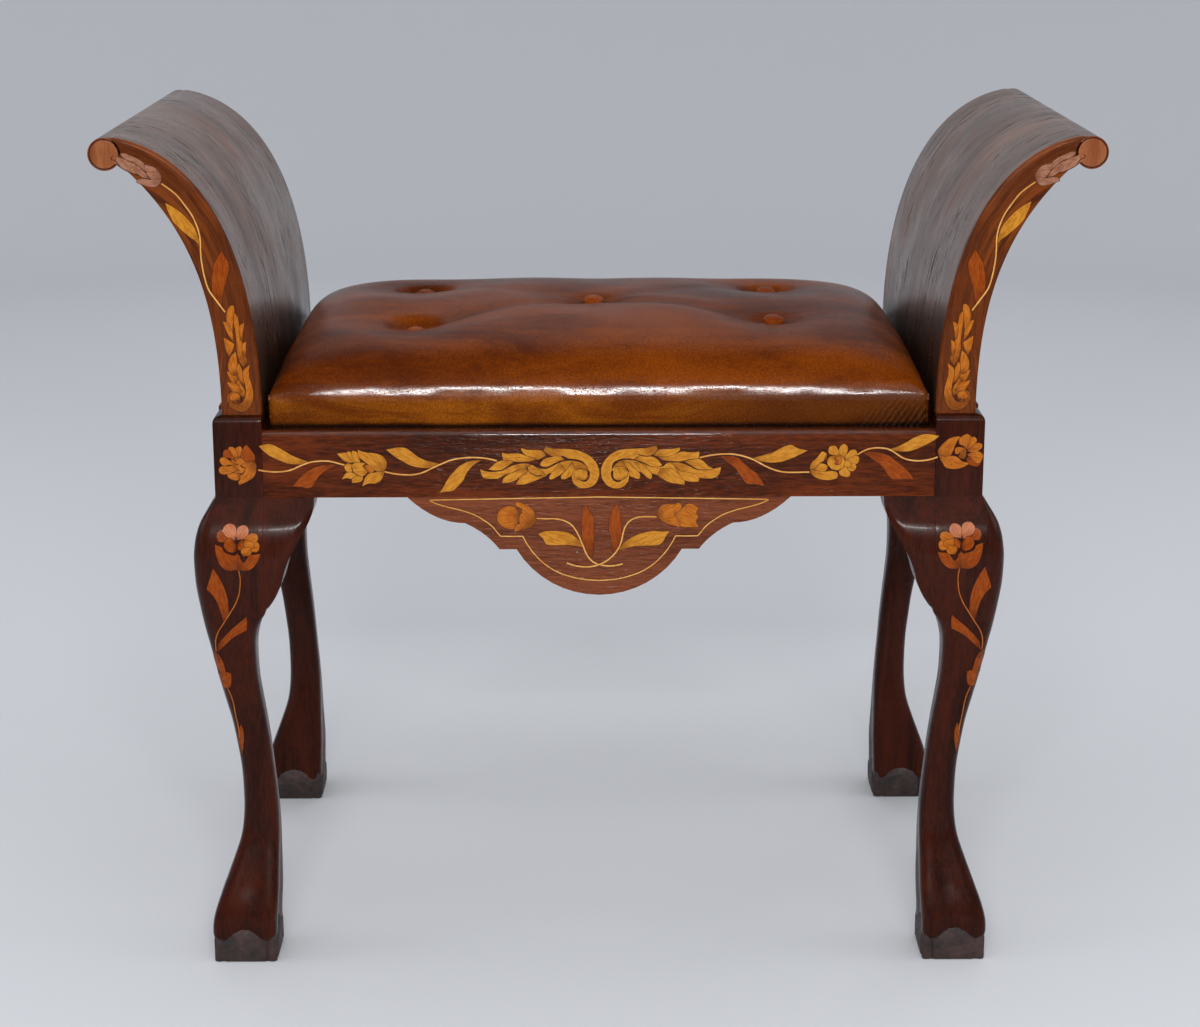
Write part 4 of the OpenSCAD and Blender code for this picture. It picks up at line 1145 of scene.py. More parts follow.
veneers = {
    "yellow": inlay_wood("inlay_yellow", colour(156, 92, 18), colour(194, 132, 42), colour(112, 54, 8)),
    "orange": inlay_wood("inlay_orange", colour(114, 42, 4), colour(146, 68, 10), colour(74, 26, 4)),
    "tan": inlay_wood("inlay_tan", colour(140, 68, 9), colour(182, 106, 28), colour(82, 35, 8)),
    "pink": inlay_wood("inlay_pink", colour(150, 78, 46), colour(182, 112, 74), colour(114, 54, 30)),
    # Pale greyish veneer of the arm tulip: partly its own pale colour, partly painted glare.
    "faded": inlay_wood("inlay_pale_and_glare", colour(116, 70, 50), colour(160, 112, 88), colour(96, 54, 38)),
    "stem": inlay_wood("inlay_stem", colour(190, 124, 54), colour(216, 162, 92), colour(186, 118, 50)),
    "thread": inlay_wood("inlay_thread", colour(150, 76, 20), colour(178, 100, 34), colour(150, 76, 20)),
    "cut": inlay_wood("inlay_glue", colour(34, 14, 9), colour(46, 20, 12), colour(34, 14, 9)),
}
veneers["string"] = veneers["stem"]
left_spray = ((225, 430), 8.711, (
    ("yellow", "745,280 680,260 600,230 520,185 450,145 390,123 330,130 295,142"
               " / 350,195 410,237 480,267 550,292 620,299 690,297"),
    ("orange", "985,305 920,300 840,312 760,335 690,382 640,432 590,492"
               " / 660,495 715,507 752,498 / 785,455 820,400 870,358 925,328"),
    ("stem", "290,348 350,358 430,365 520,360 590,342 660,310 740,282 810,272 870,270 930,276 985,290"
             " 1040,305"),
))
left_flower = ((335, 430), 8.711, (
    ("yellow", "240,320 150,300 108,292 84,312 84,335 95,352 110,364 160,360"),
    ("yellow", "240,320 170,372 140,368 95,375 60,430 / 100,418 150,426 190,400"),
    ("yellow", "240,340 190,400 150,424 150,460 / 200,455 240,432"),
    ("yellow", "240,320 170,285 130,285 78,268 45,235 18,206 / 60,200 100,199 160,250"),
    ("yellow", "235,320 140,262 112,225 103,190 / 125,187 138,192 / 150,225 190,260"),
    ("yellow", "235,320 170,262 148,225 146,185 / 165,183 188,190 / 205,230 215,262"),
    ("yellow", "290,320 262,290 217,284 160,293 146,322 160,366 198,394 231,403 / 262,392 288,360"),
    ("tan", "270,345 250,325 262,300 290,296 330,300 345,330 335,362 300,372"),
    ("yellow", "430,352 448,321 450,283 434,249 399,219 347,203 260,193 200,175"
               " / 200,210 212,240 240,262 290,298 / 320,322 345,350 380,362"),
    ("yellow", "430,356 424,393 399,437 356,463 289,466 237,490 / 250,450 262,418 290,384 335,372 380,364"),
    ("cut", "146,322 160,366 198,394 231,403"),
    ("cut", "240,318 260,300 288,300"),
))
left_runner = ((335, 430), 8.711, (
    ("yellow", "915,295 850,281 780,262 720,232 670,195 620,160 560,152 500,160 445,172"
               " / 490,207 530,238 590,272 650,305 730,325 800,330 865,322"),
    ("yellow", "1280,262 1210,266 1140,283 1080,320 1015,385 970,450 940,508 910,547"
               " / 960,536 1012,533 1040,522 / 1080,482 1118,438 1142,380 1190,320 1240,283"),
    ("stem", "430,362 500,378 580,388 660,390 740,378 810,350 870,320 940,290 1010,262 1080,248"
             " 1160,240 1240,240 1310,246 1370,258 1410,268"),
))
left_scroll = ((465, 430), 11.2, (
    ("yellow", "905,285 885,250 840,227 760,223 690,220 625,200 / 640,240 680,280 730,302 / 800,332"
               " 860,312"),
    ("yellow", "800,325 740,308 690,292 640,272 590,261 540,263 480,266 412,255"
               " / 420,300 430,336 / 500,338 560,352 640,356 720,350 780,336"),
    ("yellow", "545,357 500,342 450,340 400,345 350,365 305,405 262,442 / 330,452 400,446 445,425 495,390"),
    ("yellow", "1380,452 1345,392 1280,358 1200,344 1120,348 1050,368 990,400 920,432 860,434 800,420"
               " 745,388"
               " 680,372 600,382 560,470 640,560 800,560 880,530 950,482 1060,462 1150,445 1230,452"
               " 1300,433"),
    ("yellow", "900,500 840,440 740,440 690,470 620,540 590,570 575,612 / 650,610 720,592 800,562 870,532"),
    ("yellow", "700,430 640,430 560,470 480,500 430,545 418,590 / 462,593 520,580 570,562 / 620,520"
               " 690,480"),
    ("yellow", "745,390 680,373 600,381 520,405 450,441 380,463 300,470 230,462 172,440"
               " / 185,500 215,537 280,546 370,543 / 450,500 520,478 600,440 690,420"),
    ("yellow", "1060,370 1040,395 1020,425 975,475 948,515 945,550 / 980,549 1030,522 1080,490 1120,440"),
    ("yellow", "1200,360 1170,400 1150,432 1100,480 1076,515 1080,547 / 1115,552 1150,535"
               " 1200,505 / 1230,450"),
    ("yellow", "1165,325 1110,330 1060,288 970,300 890,325 860,350 838,390 / 880,412 940,404 1000,372"
               " 1060,345"),
    ("yellow", "880,236 902,184"
               " / 980,205 1100,210 1200,216 1300,240 1390,285 1450,340 1490,410 1505,480 1490,550 1450,612"
               " 1390,643 1330,651 1270,640 1220,600 1199,545 1200,490 1230,452 1290,433 1345,447 1372,480"
               " 1300,565 / 1340,572 1375,545 1390,490 1382,440 1340,372 1300,342 1240,326 1160,320"
               " / 1100,290 1040,290 970,290 / 925,264"),
    ("yellow", "1300,560 1250,545 1225,510 1240,465 1290,440 1340,452 1370,490 1365,535 1335,562"),
    ("cut", "1392,462 1394,510 1378,552 1338,576 1292,564"),
    ("cut", "690,400 700,440 735,480 800,512 / 860,512"),
))
right_scroll = ((595, 430), 11.2, (
    ("yellow", "660,285 700,232 760,215 830,213 890,208 952,194 / 950,225 920,252 890,272 / 820,302"
               " 740,302"),
    ("yellow", "700,292 780,302 860,287 920,262 980,241 1060,250 1120,248 1170,240"
               " / 1166,280 1160,320 / 1090,323 1030,331 960,352 880,347 800,342 740,326"),
    ("yellow", "1000,348 1060,335 1120,325 1180,330 1230,365 1270,405 1325,428"
               " / 1290,442 1230,443 1170,440 1120,421 1060,386"),
    ("yellow", "185,445 230,385 290,345 360,335 440,342 520,368 600,400 680,418 760,408 800,375 860,360"
               " 940,365"
               " 1010,385 1070,460 1000,560 850,560 780,545 700,505 600,480 500,470 400,430 330,425"
               " 280,410"),
    ("yellow", "740,430 840,430 900,460 960,510 1000,560 1002,612 / 930,602 850,589 780,560 / 710,510"),
    ("yellow", "900,420 1000,430 1080,470 1140,505 1166,545 1160,576 / 1100,579 1040,573"
               " 990,555 / 950,500"),
    ("yellow", "850,362 940,363 1010,385 1070,412 1130,440 1200,450 1290,446 1350,427 1412,413"
               " / 1400,470 1370,517 1310,540 1230,541 1170,532 / 1120,490 1040,470 950,450"),
    ("yellow", "440,360 490,420 520,470 560,510 600,540 626,552 / 638,510 620,468 580,425 / 520,375"),
    ("yellow", "300,350 350,410 380,460 385,508 430,530 482,548 / 506,530 497,482 460,436 / 380,370"),
    ("yellow", "425,325 480,280 560,290 640,298 690,320 720,350 752,394 / 700,414 640,405 600,388"
               " 540,362 480,340"),
    ("yellow", "702,212 688,174"
               " / 640,186 560,200 450,208 350,212 250,230 170,275 110,340 76,410 68,480 85,550 130,612"
               " 190,646 260,652 320,630 365,582 381,520 368,462 330,425 275,410 225,418 195,450"
               " 290,568 / 240,575 205,548 188,500 192,395 220,352 280,326 360,316 430,324"
               " / 490,290 545,290 600,292 / 660,265"),
    ("yellow", "290,560 340,540 362,505 345,455 290,428 235,435 205,475 210,530 250,562"),
    ("cut", "182,462 186,515 205,556 250,578 292,568"),
    ("cut", "480,272 520,282 570,292 620,290"),
))
right_runner = ((716, 428), 14.2545, (
    ("orange", "60,400 150,393 250,405 320,430 370,475 430,530 500,590 580,650 640,730 692,822"
               " / 620,812 560,798 490,800 440,795 / 390,740 340,670 290,590 220,530 140,470 90,430"),
    ("yellow", "525,430 600,405 700,380 800,350 900,300 980,262 1050,243 1092,245"
               " / 1140,276 1200,300 1312,320 / 1230,360 1150,400 1050,440 950,475 860,491 760,491"
               " 680,481 600,463"),
    ("stem", "-235,423 -120,396 0,378 120,370 240,372 340,388 430,412 520,445 610,490 700,540 790,580"
             " 880,610"
             " 960,625 1060,632 1180,630 1330,628"),
))
right_flower = ((815, 428), 12.0615, (
    ("yellow", "330,360 280,330 215,325 172,308 163,262 180,226 215,214 252,222 280,262 320,310"),
    ("yellow", "360,370 310,320 288,288 300,232 340,197 382,205 396,250 388,290 370,330"),
    ("yellow", "370,390 360,350 390,310 430,268 488,264 507,302 495,335 440,370"),
    ("yellow", "370,400 420,360 480,335 515,335 532,365 526,405 495,436 430,440"),
    ("yellow", "350,430 420,420 470,428 496,450 490,492 452,522 410,508 370,470"),
    ("yellow", "320,430 360,450 400,500 428,540 410,585 355,586 302,562 290,515 300,470"),
    ("yellow", "330,400 380,390 420,410 440,440 415,470 375,465 340,440"),
    ("yellow", "260,330 300,325 345,358 358,415 335,478 272,512 200,497 160,455 150,400 172,350 220,332"),
    ("tan", "260,400 235,375 255,350 300,355 320,390 305,430 262,445 235,425"),
    ("yellow", "-20,520 40,420 90,430 130,440 150,470 128,512 60,530"),
    ("yellow", "-40,520 -62,474 -35,415 24,356 80,283 / 118,290 140,320 130,370 100,405 50,430 0,480"),
    ("yellow", "-40,500 -55,533 -10,584 50,613 130,626 200,622 266,602 / 276,562 252,526 190,516 130,524"
               " 50,520"),
    ("cut", "160,455 200,497 272,512 320,490"),
    ("cut", "130,330 112,395 / 60,425"),
))
right_end = ((815, 428), 12.0615, (
    ("yellow", "905,250 980,230 1050,200 1130,155 1210,110 1290,80 1370,75 1440,84 1500,96"
               " / 1440,145 1360,190 1280,230 1200,260 1120,281 1030,283 960,271"),
    ("orange", "570,300 640,285 720,290 810,305 890,335 960,385 1030,440 1100,500 1150,555 1196,626"
               " / 1120,616 1020,619 930,616 / 880,565 840,500 800,450 740,405 660,350"),
    ("stem", "510,322 570,285 640,255 720,240 800,240 870,250 930,275 990,315 1060,360 1140,385"
             " 1240,396 1340,388 1420,370 1478,350"),
))
front_rail_inlay = inlay(
    "front_rail_marquetry",
    (left_spray, left_flower, left_runner, left_scroll, right_scroll, right_runner, right_flower, right_end),
    on_plane(-POST_OUT_Y))
copied(front_rail_inlay, "rear_rail_marquetry", turned=True)

# Apron marquetry
# Boxwood stringing follows the apron's joint and its outline, round two tulips on crossed stems with
# four leaves.
apron_line = ((350, 490), 7.467, (
    ("string", "590,76 1200,64 1860.9,51.9"),
    ("string", "592,78 650,104 740,130 830,151 930,186 1000,226 1060,270 1100,317 1125,345"
               " / 1208,346 1290,345"
               " / 1326,409 1384,486 1460,557 1555,614 1650,647 1746,667 1860.9,675"),
))
apron_left_tulip = ((350, 490), 7.467, (
    ("tan", "1262,205 1258,160 1225,127 1190,120 1150,128 1115,155 1098,200 1110,245 1150,280 1200,289"
            " 1238,280"),
    ("tan", "1390,212 1380,252 1340,280 1290,293 1232,313 / 1226,290 1246,262 1275,247 / 1262,228 1266,210"
            " / 1266,190 1285,172 / 1286,150 1262,130 1236,118 / 1237,88 / 1290,100 1340,125 1375,162"),
))
apron_right_tulip = ((520, 490), 7.84, (
    ("tan", "1180,200 1190,150 1240,160 1275,140 1295,116 1340,108 1402,138"
            " / 1382,180 1398,208 1380,245 1402,292 / 1330,291 1275,288 1200,255"),
    ("tan", "1078,192 1085,150 1120,120 1170,110 1212,112 1240,97 1268,118 / 1262,145 1240,165 1205,190"
            " 1235,225 1255,262 1250,290 / 1200,276 1150,262 1100,232"),
))
apron_leaves = ((520, 490), 7.84, (
    ("orange", "570,528 530,500 500,450 487,380 486,300 487,220 495,150 507,110"
               " / 532,145 562,190 580,235 579,320 578,400 576,470"),
    ("orange", "735,500 717,450 715,380 700,330 697,260 705,205 730,150 753,104"
               " / 780,150 790,230 793,310 786,380 768,450"),
    ("yellow", "500,450 470,402 430,365 380,336 310,322 240,320 190,325 143,345"
               " / 180,380 205,425 240,433 / 310,432 380,430 440,440"),
    ("yellow", "772,472 810,420 860,380 920,350 980,332 1050,322 1120,325 1172,322"
               " / 1145,360 1120,405 1090,430 / 1030,435 950,436 870,446"),
    ("stem", "130,222 200,225 270,225 340,238 400,270 440,320 470,380 495,440 520,500 552,545 590,572"
             " 640,588"
             " 700,595 755,590 806,578"),
    ("stem", "1070,210 1000,208 930,213 870,235 830,278 810,330 795,400 770,460 722,520 670,560 620,583"
             " 570,598"
             " 500,602 430,592 366,572"),
))
front_apron_inlay = inlay(
    "front_apron_marquetry", (apron_left_tulip, apron_right_tulip, apron_leaves),
    on_plane(-POST_OUT_Y))
left_string = inlay("front_apron_left_stringing", (apron_line,), on_plane(-POST_OUT_Y))
right_string = copied(left_string, "front_apron_right_stringing", mirrored=True)
copied(front_apron_inlay, "rear_apron_marquetry", turned=True)
copied(left_string, "rear_apron_left_stringing", turned=True)
copied(right_string, "rear_apron_right_stringing", turned=True)

# Post marquetry
# A flower in profile on the front of each post, its cup towards the rail.
left_post_flower = ((210, 436), 28, (
    ("tan", "620,560 800,480 980,560 1020,700 1010,900 900,1040 760,1060 620,960 590,760"),
    ("tan", "850,620 720,480 715,350 790,300 845,290 885,340 905,480"),
    ("tan", "800,640 600,540 520,400 520,330 590,303 665,330 725,400 765,500"),
    ("orange", "740,720 560,620 400,600 368,520 380,430 440,383 520,390 605,500"),
    ("tan", "800,810 560,805 400,832 310,772 273,690 300,620 370,588 430,610 600,720"),
    ("tan", "850,1050 830,1200 740,1242 640,1222 540,1182 478,1090 560,1050 700,1030"),
    ("tan", "830,960 640,1010 480,1062 380,1072 288,1040 248,970 270,890 340,848 450,850 640,850"),
    ("orange", "1250,760 1265,600 1200,460 1110,340 1010,246 / 940,330 890,420 860,560 / 900,640"
               " 1000,720 1150,800"),
    ("tan", "1302,900 1295,980 1270,1060 1220,1150 1120,1230 980,1300 825,1368"
            " / 792,1290 / 850,1200 850,1110 930,1060 1000,960 960,880 870,820 / 1000,740 1150,720"
            " 1280,760"),
    ("cut", "850,810 900,870 1000,900"),
))
right_post_flower = ((934, 428), 28, (
    ("tan", "930,600 800,490 708,445 700,350 740,268 840,200 940,172 1022,215 1042,290 990,420"),
    ("tan", "930,620 990,420 1040,268 1120,250 1182,290 1202,360 1150,430 1060,520"),
    ("orange", "900,860 1000,800 1150,850 1260,900 1295,1000 1200,1072 1080,1052 960,1000"),
    ("tan", "920,740 1050,680 1160,655 1260,660 1352,720 1372,790 1332,900 1240,990 1100,900"),
    ("tan", "930,640 1050,540 1160,440 1260,418 1342,450 1352,520 1300,590 1200,642 1060,680"),
    ("tan", "740,700 620,730 583,660 590,590 640,538 760,538 872,570 903,640 902,740 882,812 838,862"
            " / 760,852 690,790"),
    ("tan", "120,740 112,650 120,600 190,500 290,400 410,308 530,258 640,233 735,246"
            " / 660,350 600,450 / 560,560 500,700 460,762 300,795 / 200,800"),
    ("tan", "118,730 150,800 190,900 260,1000 300,1080 420,1132 560,1147 700,1127 840,1080 962,1010"
            " / 942,968 865,962 / 760,920 700,850 620,800 520,778 400,778 280,795"),
))
posts_inlay = inlay(
    "front_posts_marquetry", (left_post_flower, right_post_flower), on_plane(-POST_OUT_Y))
copied(posts_inlay, "rear_posts_marquetry", turned=True)

# Knee marquetry
# A poppy with a long stem and leaves runs down the face of each front leg. The veneers are bent over
# the knee's swell. The rear legs are taken to match.
BENT_PROUD = 0.15
KNEE_CUT = 2.5


def on_wood(piece):
    """Carries a pixel of the photograph to where its ray meets a carved piece."""
    tree = BVHTree.FromObject(piece, bpy.context.evaluated_depsgraph_get())

    def carry(u, v):
        ray = pixel_ray(u, v)
        place, normal, _, _ = tree.ray_cast(eye, ray.normalized())
        if place is None:
            place, normal, _, _ = tree.find_nearest(eye + ray * ((-POST_OUT_Y * MM - eye.y) / ray.y))
        return place + normal * BENT_PROUD * MM, normal
    return carry


def four_corners(pattern, groups, carry, cut=0):
    """The inlay of the front left corner, and its copies at the other three."""
    first = inlay(pattern.format(end="front", side="left"), groups, carry, cut)
    copied(first, pattern.format(end="front", side="right"), mirrored=True)
    copied(first, pattern.format(end="rear", side="left"), mirrored=True, turned=True)
    copied(first, pattern.format(end="rear", side="right"), turned=True)


knee_flower = ((180, 500), 7.84, (
    ("orange", "400,320 340,330 300,322 288,280 305,244 338,238 355,285"),
    ("pink", "440,320 370,292 338,250 344,214 370,191 402,187 432,205 442,250"),
    ("pink", "450,320 443,265 450,225 480,202 516,202 537,235 532,272 502,305"),
    ("tan", "490,340 520,290 560,263 600,270 613,305 592,332 550,345"),
    ("tan", "510,370 560,340 610,334 623,370 606,406 570,406 540,390"),
    ("tan", "480,340 500,318 560,326 585,350 570,380 530,385"),
    ("orange", "450,345 490,308 500,350 492,386 460,390"),
    ("orange", "440,350 400,300 360,312 344,350 350,376 372,400 412,412 442,392"),
    ("orange", "455,548 380,552 330,525 296,470 280,410 275,350"
               " / 310,364 335,375 / 345,405 372,414 430,436 / 452,420 / 462,480"),
    ("orange", "455,548 520,553 572,530 610,480 630,424 / 580,428 545,436 520,470 500,492"
               " 475,470 / 460,430"),
    ("tan", "495,440 478,402 508,372 545,374 562,408 542,436"),
    ("cut", "430,290 440,320 / 480,310"),
    ("cut", "335,375 350,408 430,436"),
))
knee_leaves = ((180, 500), 7.84, (
    ("orange", "345,968 325,900 300,820 260,750 212,700 / 220,660 240,600 258,538"
               " / 302,600 342,680 370,760 382,860 374,920"),
    ("orange", "293,1192 310,1120 350,1070 410,1010 470,960 520,916"
               " / 526,965 522,1022 / 460,1052 400,1092 340,1150"),
    ("thread", "458,548 470,600 472,660 462,740 432,820 390,890 340,970 302,1030 281,1100 285,1185"),
))
knee_tail = ((195, 640), 12.067, (
    ("orange", "222,128 270,155 320,220 350,300 372,385 / 436,402 / 440,480 425,560 392,586"
               " / 350,560 318,490 276,380 240,250"),
    ("orange", "572,1390 588,1260 592,1160 580,1080 556,1018 / 536,1070 525,1150 540,1260"),
    ("thread", "400,590 440,680 470,780 492,900 520,1020 548,1180"),
))
four_corners(
    "leg_{end}_{side}_marquetry", (knee_flower, knee_leaves, knee_tail),
    on_wood(bpy.data.objects["leg_front_left_carved"]), KNEE_CUT)

# Arm marquetry
# A pale tulip under the roundel, a stem with two leaves and a tall acanthus on the end of each arm.
# The right end mirrors the left, and the rear ends are taken to match.
# The tulip's pale greyish veneer is partly its own colour and partly painted glare.
arm_tulip = ((88, 135), 17.422, (
    ("faded", "1050,750 900,700 700,640 560,560 430,470 / 420,405 470,370 570,405 700,455 820,510 950,640"),
    ("faded", "1050,700 960,600 800,480 640,420 560,330 / 640,320 760,370 900,440 985,520"),
    ("faded", "1060,760 960,740 840,660 800,600 812,545 860,535 920,580 1000,660"),
    ("faded", "1275,790 1240,862 1170,906 1090,905 990,880 900,850 848,828 / 862,780 950,762 1040,772"
              " 1112,780"
             " / 1060,722 1012,650 978,518 / 1060,530 1150,562 1222,622 1270,700"),
    ("cut", "430,362 402,420 480,455 560,560 700,640 860,700"),
))
arm_leaves = ((70, 130), 7.84, (
    ("yellow", "1020,915 982,870 940,840 880,790 820,732 788,680 762,620 747,573"
               " / 810,605 870,650 920,700 970,760 1002,830"),
    ("orange", "1186,1388 1128,1315 1112,1240 1112,1160 1122,1080 1150,1010 1190,948"
               " / 1226,1010 1246,1062 1238,1132 1218,1202 1198,1290"),
    ("stem", "715,420 780,465 840,515 900,590 950,660 985,730 1010,800 1022,880 1024,960 1034,1050"
             " 1054,1150"
             " 1087,1252 1148,1338 1216,1428"),
))
arm_acanthus = ((170, 290), 11.2, (
    ("tan", "722,590 708,500 700,420 712,330 722,240 715,180 / 690,173 660,195 638,250 634,320 648,400"
            " 662,480"
            " 690,545"),
    ("tan", "712,590 665,520 635,470 610,400 590,355 / 640,366 680,430 706,500"),
    ("tan", "665,752 632,690 612,610 602,533 / 640,550 685,582 718,605 / 702,670"),
    ("tan", "820,862 780,800 750,700 745,600 735,480 716,380 712,300 718,256 / 752,290 766,350 782,430"
            " 802,540"
            " 822,640 852,740 860,802"),
    ("tan", "790,560 776,470 778,418 796,385 830,370 / 824,430 816,500 808,560"),
    ("tan", "815,720 808,640 816,600 854,576 / 850,640 852,700 846,745"),
    ("tan", "835,1200 840,1130 802,1060 762,980 746,900 690,900 680,960 690,1040 700,1110 740,1160"),
    ("tan", "770,1000 735,960 690,925 637,911 / 655,960 680,1010 722,1050"),
    ("tan", "810,1140 760,1062 695,1038 638,1030 / 662,1080 700,1132 760,1155"),
    ("tan", "745,960 760,880 750,780 737,693 / 690,730 660,790 649,850 668,920 710,952"),
    ("tan", "830,1070 780,1005 756,930 750,870 770,818 / 806,890 812,950 824,1000"),
    ("tan", "735,1255 800,1260 838,1210 850,1150 846,1080 828,1010 816,950 828,890 895,838"
            " / 884,900 890,980 914,1060 931,1140 927,1230 893,1320 825,1363 750,1353 682,1313 645,1250"
            " 640,1192 662,1155 712,1140 762,1152 792,1195"),
    ("tan", "735,1240 770,1235 788,1205 765,1162 715,1152 675,1175 672,1215 700,1240"),
    ("cut", "795,1200 800,1240 770,1268 730,1270 700,1252"),
))
four_corners(
    "arm_{side}_{end}_marquetry", (arm_tulip, arm_leaves, arm_acanthus),
    on_plane(-ARM_OUT_Y))

# Loose seat's frame
# Four beech rails, tenoned together. The seat drops into the rebate, and lifts out by hand.
beech_tones = (colour(168, 124, 80), colour(212, 172, 122))
seat_beech_x = raw_wood("seat_beech_long", *beech_tones, "X", 0.35)
seat_beech_y = raw_wood("seat_beech_side", *beech_tones, "Y", 0.35)
for node in ("seat_front_rail", "seat_rear_rail"):
    eased_copy(node, "seat", seat_beech_x, 1.0)
for node in ("seat_left_rail", "seat_right_rail"):
    eased_copy(node, "seat", seat_beech_y, 1.0)

# Webbing
# Jute webbing strained both ways over the seat's frame, six strips across and four along, laced over
# and under each other and tacked down.
WEB_W = 45
WEB_LOW = 449.0
WEB_THICK = 1.3
WEB_HALF_X = 256.2
WEB_HALF_Y = 172.2
WEB_WAVE = 0.45
WEB_APART = 0.4
cross_shares = (-0.74, -0.43, -0.155, 0.155, 0.43, 0.74)
long_shares = (-0.61, -0.203, 0.203, 0.61)


def weave(finish, pitch):
    """Warp and weft over and under each other, at a pitch in metres."""
    spot = finish.spot()
    beat = 2 * math.pi / pitch
    return (spot * beat).sine() * (spot.output(1) * beat).sine()


def woven_jute(name, dark, light, pitch, axis):
    """Uneven jute yarns, thicker and thinner along one axis."""
    finish = Finish(name)
    slub = finish.noise(finish.along(axis, 0.2), 380, 3, 0.6)
    yarn = finish.range(weave(finish, pitch) + slub * 0.8, -0.6, 1.2)
    return finish.surface(
        Base_Color=finish.blend(yarn * 0.7 + slub * 0.3, dark, light),
        Roughness=0.82 + slub * 0.1,
        Normal=finish.bump(yarn, 0.0006, 0.8),
    )


jute_webbing = woven_jute("jute_webbing", colour(126, 98, 62), colour(186, 154, 106), 0.0022, "X")


def joined(pieces, name):
    """Makes one piece of several."""
    select(*pieces)
    bpy.ops.object.join()
    piece = bpy.context.object
    piece.name = name
    bpy.ops.object.transform_apply(location=True, rotation=True, scale=True)
    return piece


def thicken(piece, thick, offset, smooth_angle):
    """Gives a skin its thickness: inwards where the offset is -1, to both sides where it is 0."""
    select(piece)
    skin = piece.modifiers.new("thickness", "SOLIDIFY")
    skin.thickness = thick * MM
    skin.offset = offset
    bpy.ops.object.modifier_apply(modifier=skin.name)
    bpy.ops.object.shade_smooth_by_angle(angle=math.radians(smooth_angle))


def webbing(name, shares, span, half_across, crosses):
    """Strips side by side, each waving over and under the strips that cross it."""
    deselect()
    strips = []
    for order, share in enumerate(shares):
        bpy.ops.mesh.primitive_grid_add(x_subdivisions=120, y_subdivisions=6, size=1, location=(0, 0, 0))
        strip = bpy.context.object
        for vert in strip.data.vertices:
            run = vert.co.x * 2 * span
            wave = 0.0
            for step, centre in enumerate(crosses):
                near = math.exp(-((run - centre) / (WEB_W * 0.45)) ** 2)
                wave += near * (1 if (step + order) % 2 else -1)
            across = share * half_across + vert.co.y * WEB_W
            level = WEB_LOW + 1.5 + WEB_WAVE * wave
            if name == "seat_long_webbing":
                vert.co = Vector((run, across, level + WEB_APART)) * MM
            else:
                vert.co = Vector((across, run, level - WEB_APART)) * MM
        strips.append(strip)
    piece = joined(strips, name + "_laced")
    thicken(piece, WEB_THICK, 0, 40)
    piece.data.materials.append(jute_webbing)
    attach(piece, "seat")
    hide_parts(name)


webbing("seat_cross_webbing", cross_shares, WEB_HALF_Y, WEB_HALF_X, [s * WEB_HALF_Y for s in long_shares])
webbing("seat_long_webbing", long_shares, WEB_HALF_X, WEB_HALF_Y, [s * WEB_HALF_X for s in cross_shares])
refinish("seat_webbing_tacks", steel_grey)

# Hessian
# One sheet of jute hessian strained over the webbing and cut to the seat's frame.
HESSIAN_LOW = 452.0
HESSIAN_THICK = 0.8
HESSIAN_HALF_X = 256.0
HESSIAN_HALF_Y = 172.0
hessian_cloth = woven_jute("hessian_cloth", colour(140, 112, 74), colour(198, 168, 120), 0.0018, "Y")


def strained_cloth(name, half_x, half_y, low, thick, material, ripple):
    """A flat sheet strained on the frame, with the faint ripples that its tacks pull into it."""
    deselect()
    bpy.ops.mesh.primitive_grid_add(x_subdivisions=90, y_subdivisions=60, size=2, location=(0, 0, 0))
    cloth = bpy.context.object
    cloth.name = name
    for vert in cloth.data.vertices:
        x = vert.co.x * half_x
        y = vert.co.y * half_y
        edge = max(abs(vert.co.x), abs(vert.co.y)) ** 6
        along = x if abs(vert.co.y) > abs(vert.co.x) else y
        vert.co = Vector((x, y, low + thick / 2 + ripple * edge * math.sin(along / 7.5))) * MM
    thicken(cloth, thick, 0, 40)
    cloth.data.materials.append(material)
    return cloth


hessian = strained_cloth(
    "seat_hessian_strained", HESSIAN_HALF_X, HESSIAN_HALF_Y, HESSIAN_LOW, HESSIAN_THICK, hessian_cloth, 0.05)
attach(hessian, "seat")
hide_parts("seat_hessian")

# Stuffing
# Curled horsehair, built up to a crown and pulled down at the five buttons.
SEAT_HALF_X = 258
SEAT_HALF_Y = 174
SEAT_EDGE_Z = 466
FULLEST_Z = 460
CROWN = 48.5
CROWN_ACROSS = 8
CROWN_DEEP = 3.5
DRAW_IN = 0.6
BULGE = 0.24
ROUND_OVER = (2.6, 9.0)
CORNER_R = 4.5
WELL_FLAT = 7.5
WELL_WIDE = 19.0
HOLLOW_WIDE = 50.0
VALLEY = (3.8, 12.0)
PUCKERS = 13
PUCKER_R = 17
PUCKER_WIDE = 6
# Radius and width of the ring of painted shade round each button; they do not change the shape
SHADE_RING_R = 10.5
SHADE_RING_WIDE = 3.6
FOLD_REACH = 58
NET_CROWDED = 0.25
# Each button's shares of the half width and half depth, the depths of its well and of the broad
# hollow round it, and how far the hollow reaches backwards: the front left twine is drawn tightest
button_pulls = (
    (-0.014, 0, 4.0, 4.3, 40), (0.568, 0.40, 6.4, 8.2, 33), (-0.58, 0.40, 8.4, 8.0, 33),
    (0.555, -0.40, 3.4, 8.2, 44), (-0.58, -0.40, 8.8, 13.0, 56),
)
buttons = [(u * SEAT_HALF_X, v * SEAT_HALF_Y) for u, v, _, _, _ in button_pulls]


